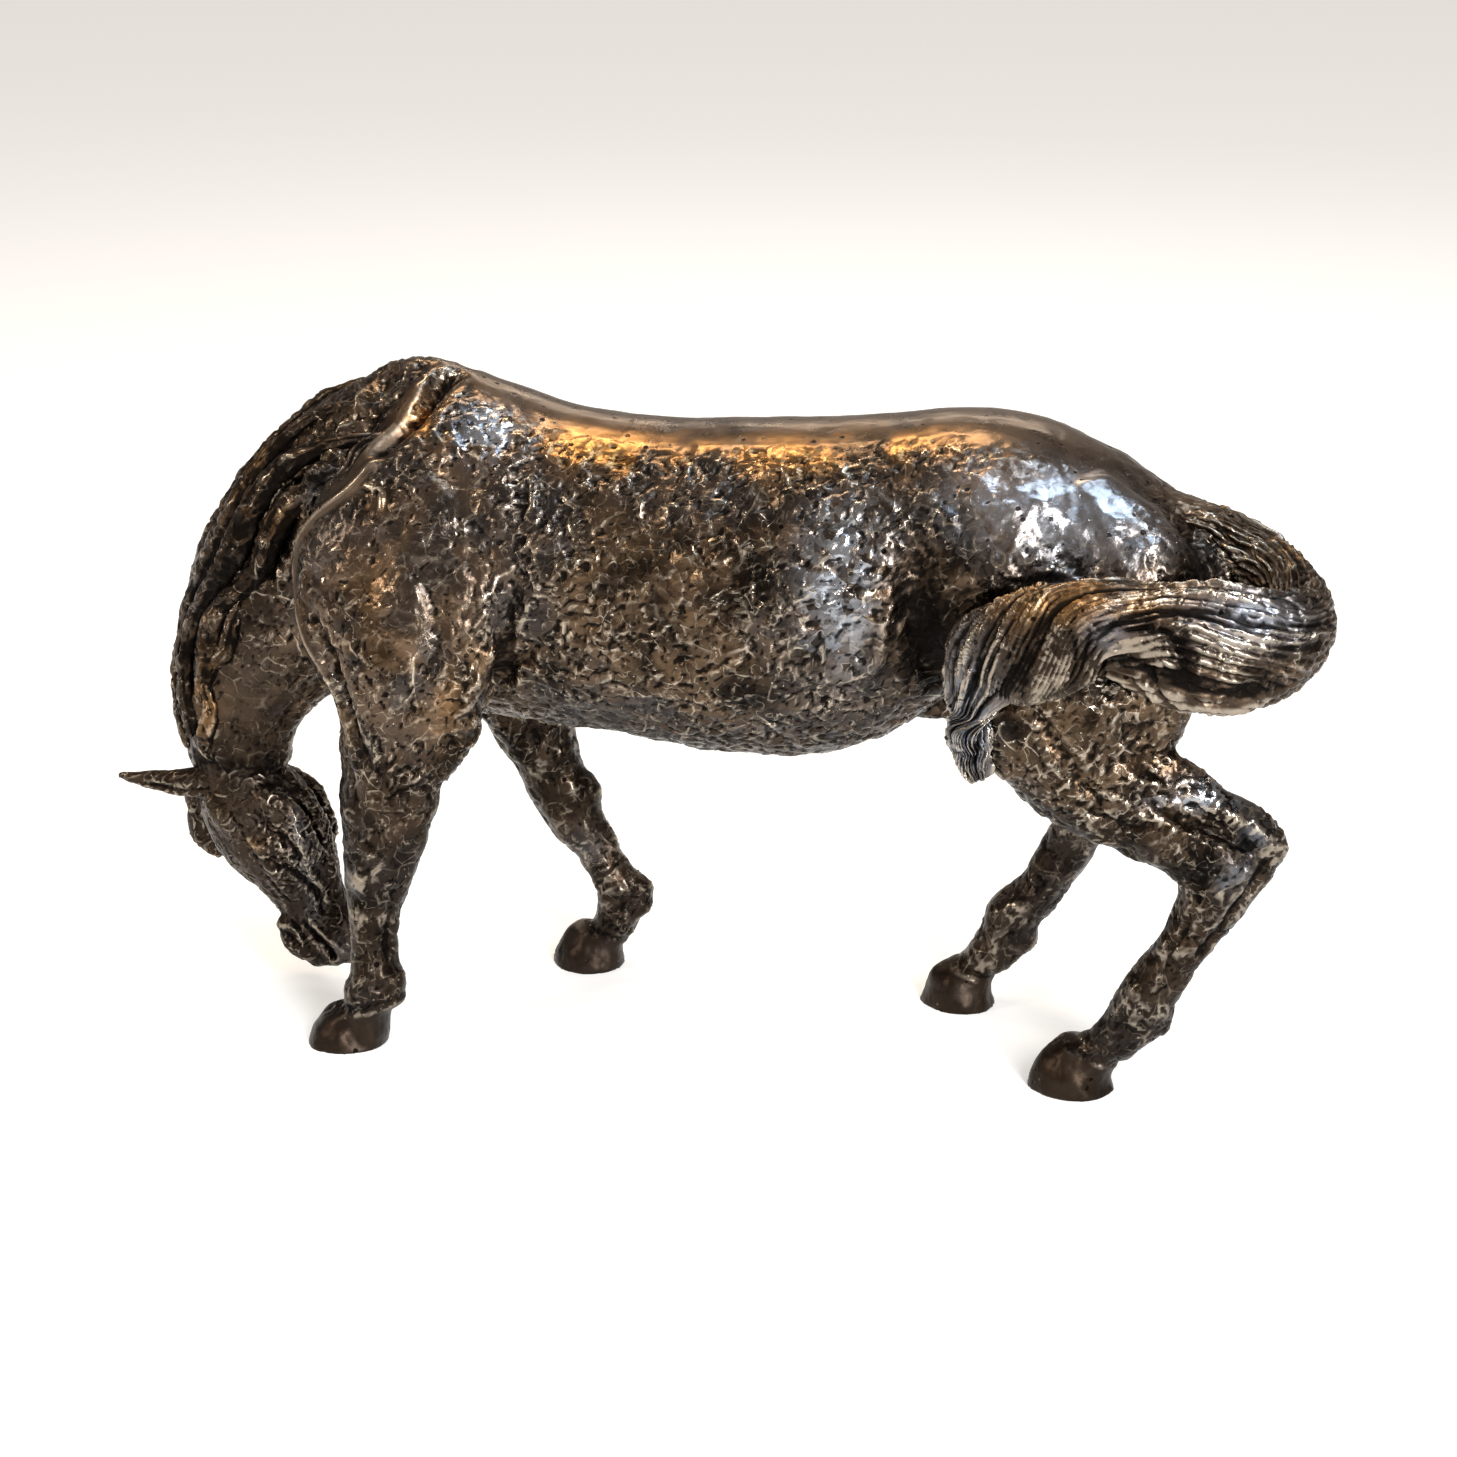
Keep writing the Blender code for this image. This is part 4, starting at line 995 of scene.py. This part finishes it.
# The mane: heavy wet-looking locks of clay laid along the crest and down both sides of the neck,
# combed with a wire so that each is grooved with strands. They are part of the same casting.
LOCKS = (
    (0.2, 6.9, -3, -4, 6.4), (0.3, 6.9, 19, 21, 5.4), (0.5, 6.6, 38, 44, 5.6), (1.0, 5.9, 58, 66, 5.6),
    (3.3, 6.8, 70, 78, 4.2), (0.4, 2.2, 52, 60, 4.6), (0.4, 6.8, -24, -24, 5.8),
    (0.7, 6.4, -40, -40, 6.4), (1.0, 5.4, -57, -60, 6.0), (2.6, 6.2, -72, -78, 5.0),
)
LOCK_POINTS = 13
LOCK_WAVE = 4.5
LOCK_WAVES = 2.5
LOCK_RIDE = 0.98
LOCK_SIDES = 44
LOCK_STEPS = 15
LOCK_LAYERS = ((5, 8, 1.6, 1.4), (12, 14, 1.2, 1.0))


def cylinder(turn, along, count, length, seed):
    """Smooth noise from 0 to 1 that closes round a tube: count cells round it, length along it."""
    radius = count / math.tau
    place = np.stack((radius * np.cos(turn), radius * np.sin(turn), length * along), -1)
    return cloud(place.reshape(-1, 3), 1.0, seed).reshape(turn.shape)


def from_middle(grid):
    """The direction from a tube's middle line to each point of its grid."""
    return unit(grid - grid.mean(1, keepdims=True))


def all_from_middle(grids):
    """The same for every point that closed makes of these grids, with any direction at their ends."""
    return np.concatenate([np.vstack((from_middle(grid).reshape(-1, 3), np.eye(3)[:2])) for grid in grids])


def hairy(grid, winding, layers, seed):
    """A tube's grid pushed out from its own middle line by layers of strands.

    Each layer is (strands round, cells of sway along, sway, height). Its strands are
    |cos(strands / 2 * (turn + winding + sway * (n - 1/2)))|^0.6, n smooth noise on a cylinder
    and winding how far the hair has wound at each ring. They fade in and out with noise too, and
    their sum is smoothed once round the tube, each point taking a quarter from either side.
    """
    rings, sides = grid.shape[:2]
    along = np.linspace(0, 1, rings)[:, None] + np.zeros(sides)
    turn = np.linspace(0, math.tau, sides, endpoint=False) + winding
    lift = np.zeros((rings, sides))
    for k, (count, length, sway, height) in enumerate(layers):
        bend = sway * (cylinder(turn, along, 5, length, seed + k) - 0.5)
        fade = 0.35 + 1.1 * cylinder(turn, along, 0.4 * count, 2 * length, seed + k + 20)
        lift += height * fade * (np.abs(np.cos(0.5 * count * (turn + bend)))**0.6 - 0.65)
    lift = 0.5 * lift + 0.25 * (np.roll(lift, 1, 1) + np.roll(lift, -1, 1))
    return grid + from_middle(grid) * lift[..., None], lift


def lock_rows(start, end, start_turn, end_turn, half_width):
    """A lock's stations: it snakes round the neck's oval, and both of its ends sink into it."""
    share = np.linspace(0, 1, LOCK_POINTS)
    at = start + (end - start) * share
    row = curve(NECK, at)
    along, side, lift = directions(NECK, at, ACROSS)
    snake = LOCK_WAVE * np.sin(math.tau * LOCK_WAVES * share + start)
    turn = np.radians(start_turn + (end_turn - start_turn) * share + snake)[:, None]
    ride = LOCK_RIDE * (1 - 0.2 * (1 - np.sin(math.pi * share))**3)[:, None]
    middle = row[:, :3] - ride * (side * row[:, 4:] * np.sin(turn) + lift * row[:, 3:4] * np.cos(turn))
    pinch = 1 - 0.22 * np.sin(math.tau * 1.7 * share + 2 * start_turn)
    thick = half_width * (0.15 + 0.85 * np.sin(math.pi * share)**0.5) * pinch
    return np.column_stack((middle, thick, thick))


grids, lifts = [], []
for k, values in enumerate(LOCKS):
    rows = lock_rows(*values)
    grid = tube(rows, sides=LOCK_SIDES, steps=LOCK_STEPS)
    winding = np.linspace(0, 1.6, len(grid))[:, None]
    neck = curve(NECK, np.linspace(values[0], values[1], len(grid)))[:, None, :3]
    crown = (from_middle(grid) * unit(grid.mean(1, keepdims=True) - neck)).sum(2)
    grid, lift = hairy(grid, winding, LOCK_LAYERS, 100 + 7 * k)
    grids.append(grid)
    # The side of each lock that faces the neck is pressed dark: painted shade between lock and neck.
    lifts += [(lift - 1.6 * held(0.75 - crown)).ravel(), [0.0, 0.0]]
points, faces = closed(grids)
outwards = all_from_middle(grids)
strokes = ribbons(points, outwards, 4.6, 4.6, 1.5, 150)
lumps = cloud(points, 8.0, 160) - 0.5
points = points + outwards * (1.2 * strokes + 1.4 * lumps - 0.5)[:, None]
mane = placed("mane", in_box(points), faces)
lift = np.concatenate(lifts) + 1.0 * (strokes - 0.5) + 1.2 * lumps
# The mane is darker in tone, with painted cool highlights near the withers and brass in patches.
dressed(mane, None, ridge=held(0.40 + 0.5 * lift), rough=0.8,
        warm=0.3 * held(4 * cloud(points, 22.0, 161) - 2),
        cool=0.7 * around(points, -140, -18, 264, 9, 12, 9) + 0.6 * around(points, -155, -28, 234, 9, 9, 9),
        dim=0.45)

# The tail: one heavy bundle of hair that leaves the dock, swings out and lies forward along the near
# thigh, twisted once and ending in a curled lock. Combed like the mane, with deeper strands.
TAIL = (
    (176, 0, 231, 13, 11), (194, -2, 228, 14, 12), (209, -8, 220, 13, 14), (222, -18, 213, 13, 15),
    (229, -32, 207, 13, 16), (225, -46, 204, 13, 19), (211, -57, 203, 13, 23), (190, -63, 204, 13, 24),
    (173, -66, 208, 13, 20), (158, -68, 212, 12.5, 16.5), (142, -67, 206, 12, 20),
    (127, -66, 200, 11, 20), (113, -63, 191, 9, 17), (107, -59, 174, 7, 10), (108, -57, 156, 6, 7),
    (110, -56, 146, 4, 4.5),
)
TAIL_SIDES = 256
TAIL_STEPS = 24
# How far the hair has wound at each of the tail's stations; it turns back at the twist.
TAIL_WINDING = (0, 0, 0, 0, -0.05, -0.15, -0.35, -0.55, -0.5, -0.1, 0.7, 1.6, 2.4, 2.9, 3.3, 3.6)
TAIL_LAYERS = ((6, 7, 1.8, 3.2), (15, 9, 1.5, 2.8), (36, 12, 1.1, 2.6))
KNOT = (160, -79, 214)

grid = tube(TAIL, UPRIGHT, sides=TAIL_SIDES, steps=TAIL_STEPS)
at = np.linspace(0, len(TAIL) - 1, len(grid))
winding = curve(np.array(TAIL_WINDING)[:, None], at)
# The outside of the loop is stroked nearly smooth: its strands are a fraction as high.
loop = np.clip(np.abs(at - 4.0) / 2.2, 0.4, 1)[:, None]
combed, lift = hairy(grid, winding, TAIL_LAYERS, 80)
grid = grid + (combed - grid) * loop[..., None]
lift = lift * loop
points, faces = closed([grid])
outwards = all_from_middle([grid])
strokes = ribbons(points, outwards, 5.0, 5.0, 1.4, 250)
strokes *= 0.6 + 0.4 * around(points, 226, -52, 206, 20, 30, 26)
points = points + outwards * (1.5 * strokes - 0.5)[:, None]
tail = placed("tail", in_box(points), faces)
lift = np.append(lift.ravel(), [0.0, 0.0]) + 1.8 * (strokes - 0.3)
# Silver and painted cool highlight at the tail's end, on its loop and on the knot; a brass patch near its
# top, and darker spots on its near side.
cool = (0.8 * around(points, 108, -62, 172, 14, 16, 30) + 0.8 * around(points, 212, -64, 218, 18, 16, 10)
        + 0.6 * around(points, *KNOT, 8, 8, 8))
warm = 0.8 * around(points, 150, -70, 222, 34, 18, 9)
shade = np.maximum(around(points, 184, -78, 202, 24, 16, 14), around(points, 140, -74, 202, 22, 16, 16))
shade += 0.6 * around(points, 178, -78, 211, 12, 12, 8)
dressed(tail, None, ridge=held(0.36 + 0.30 * lift - 0.1 * shade), rough=0.55,
        warm=held(warm), cool=held(cool), dim=held(0.4 + 0.6 * shade))
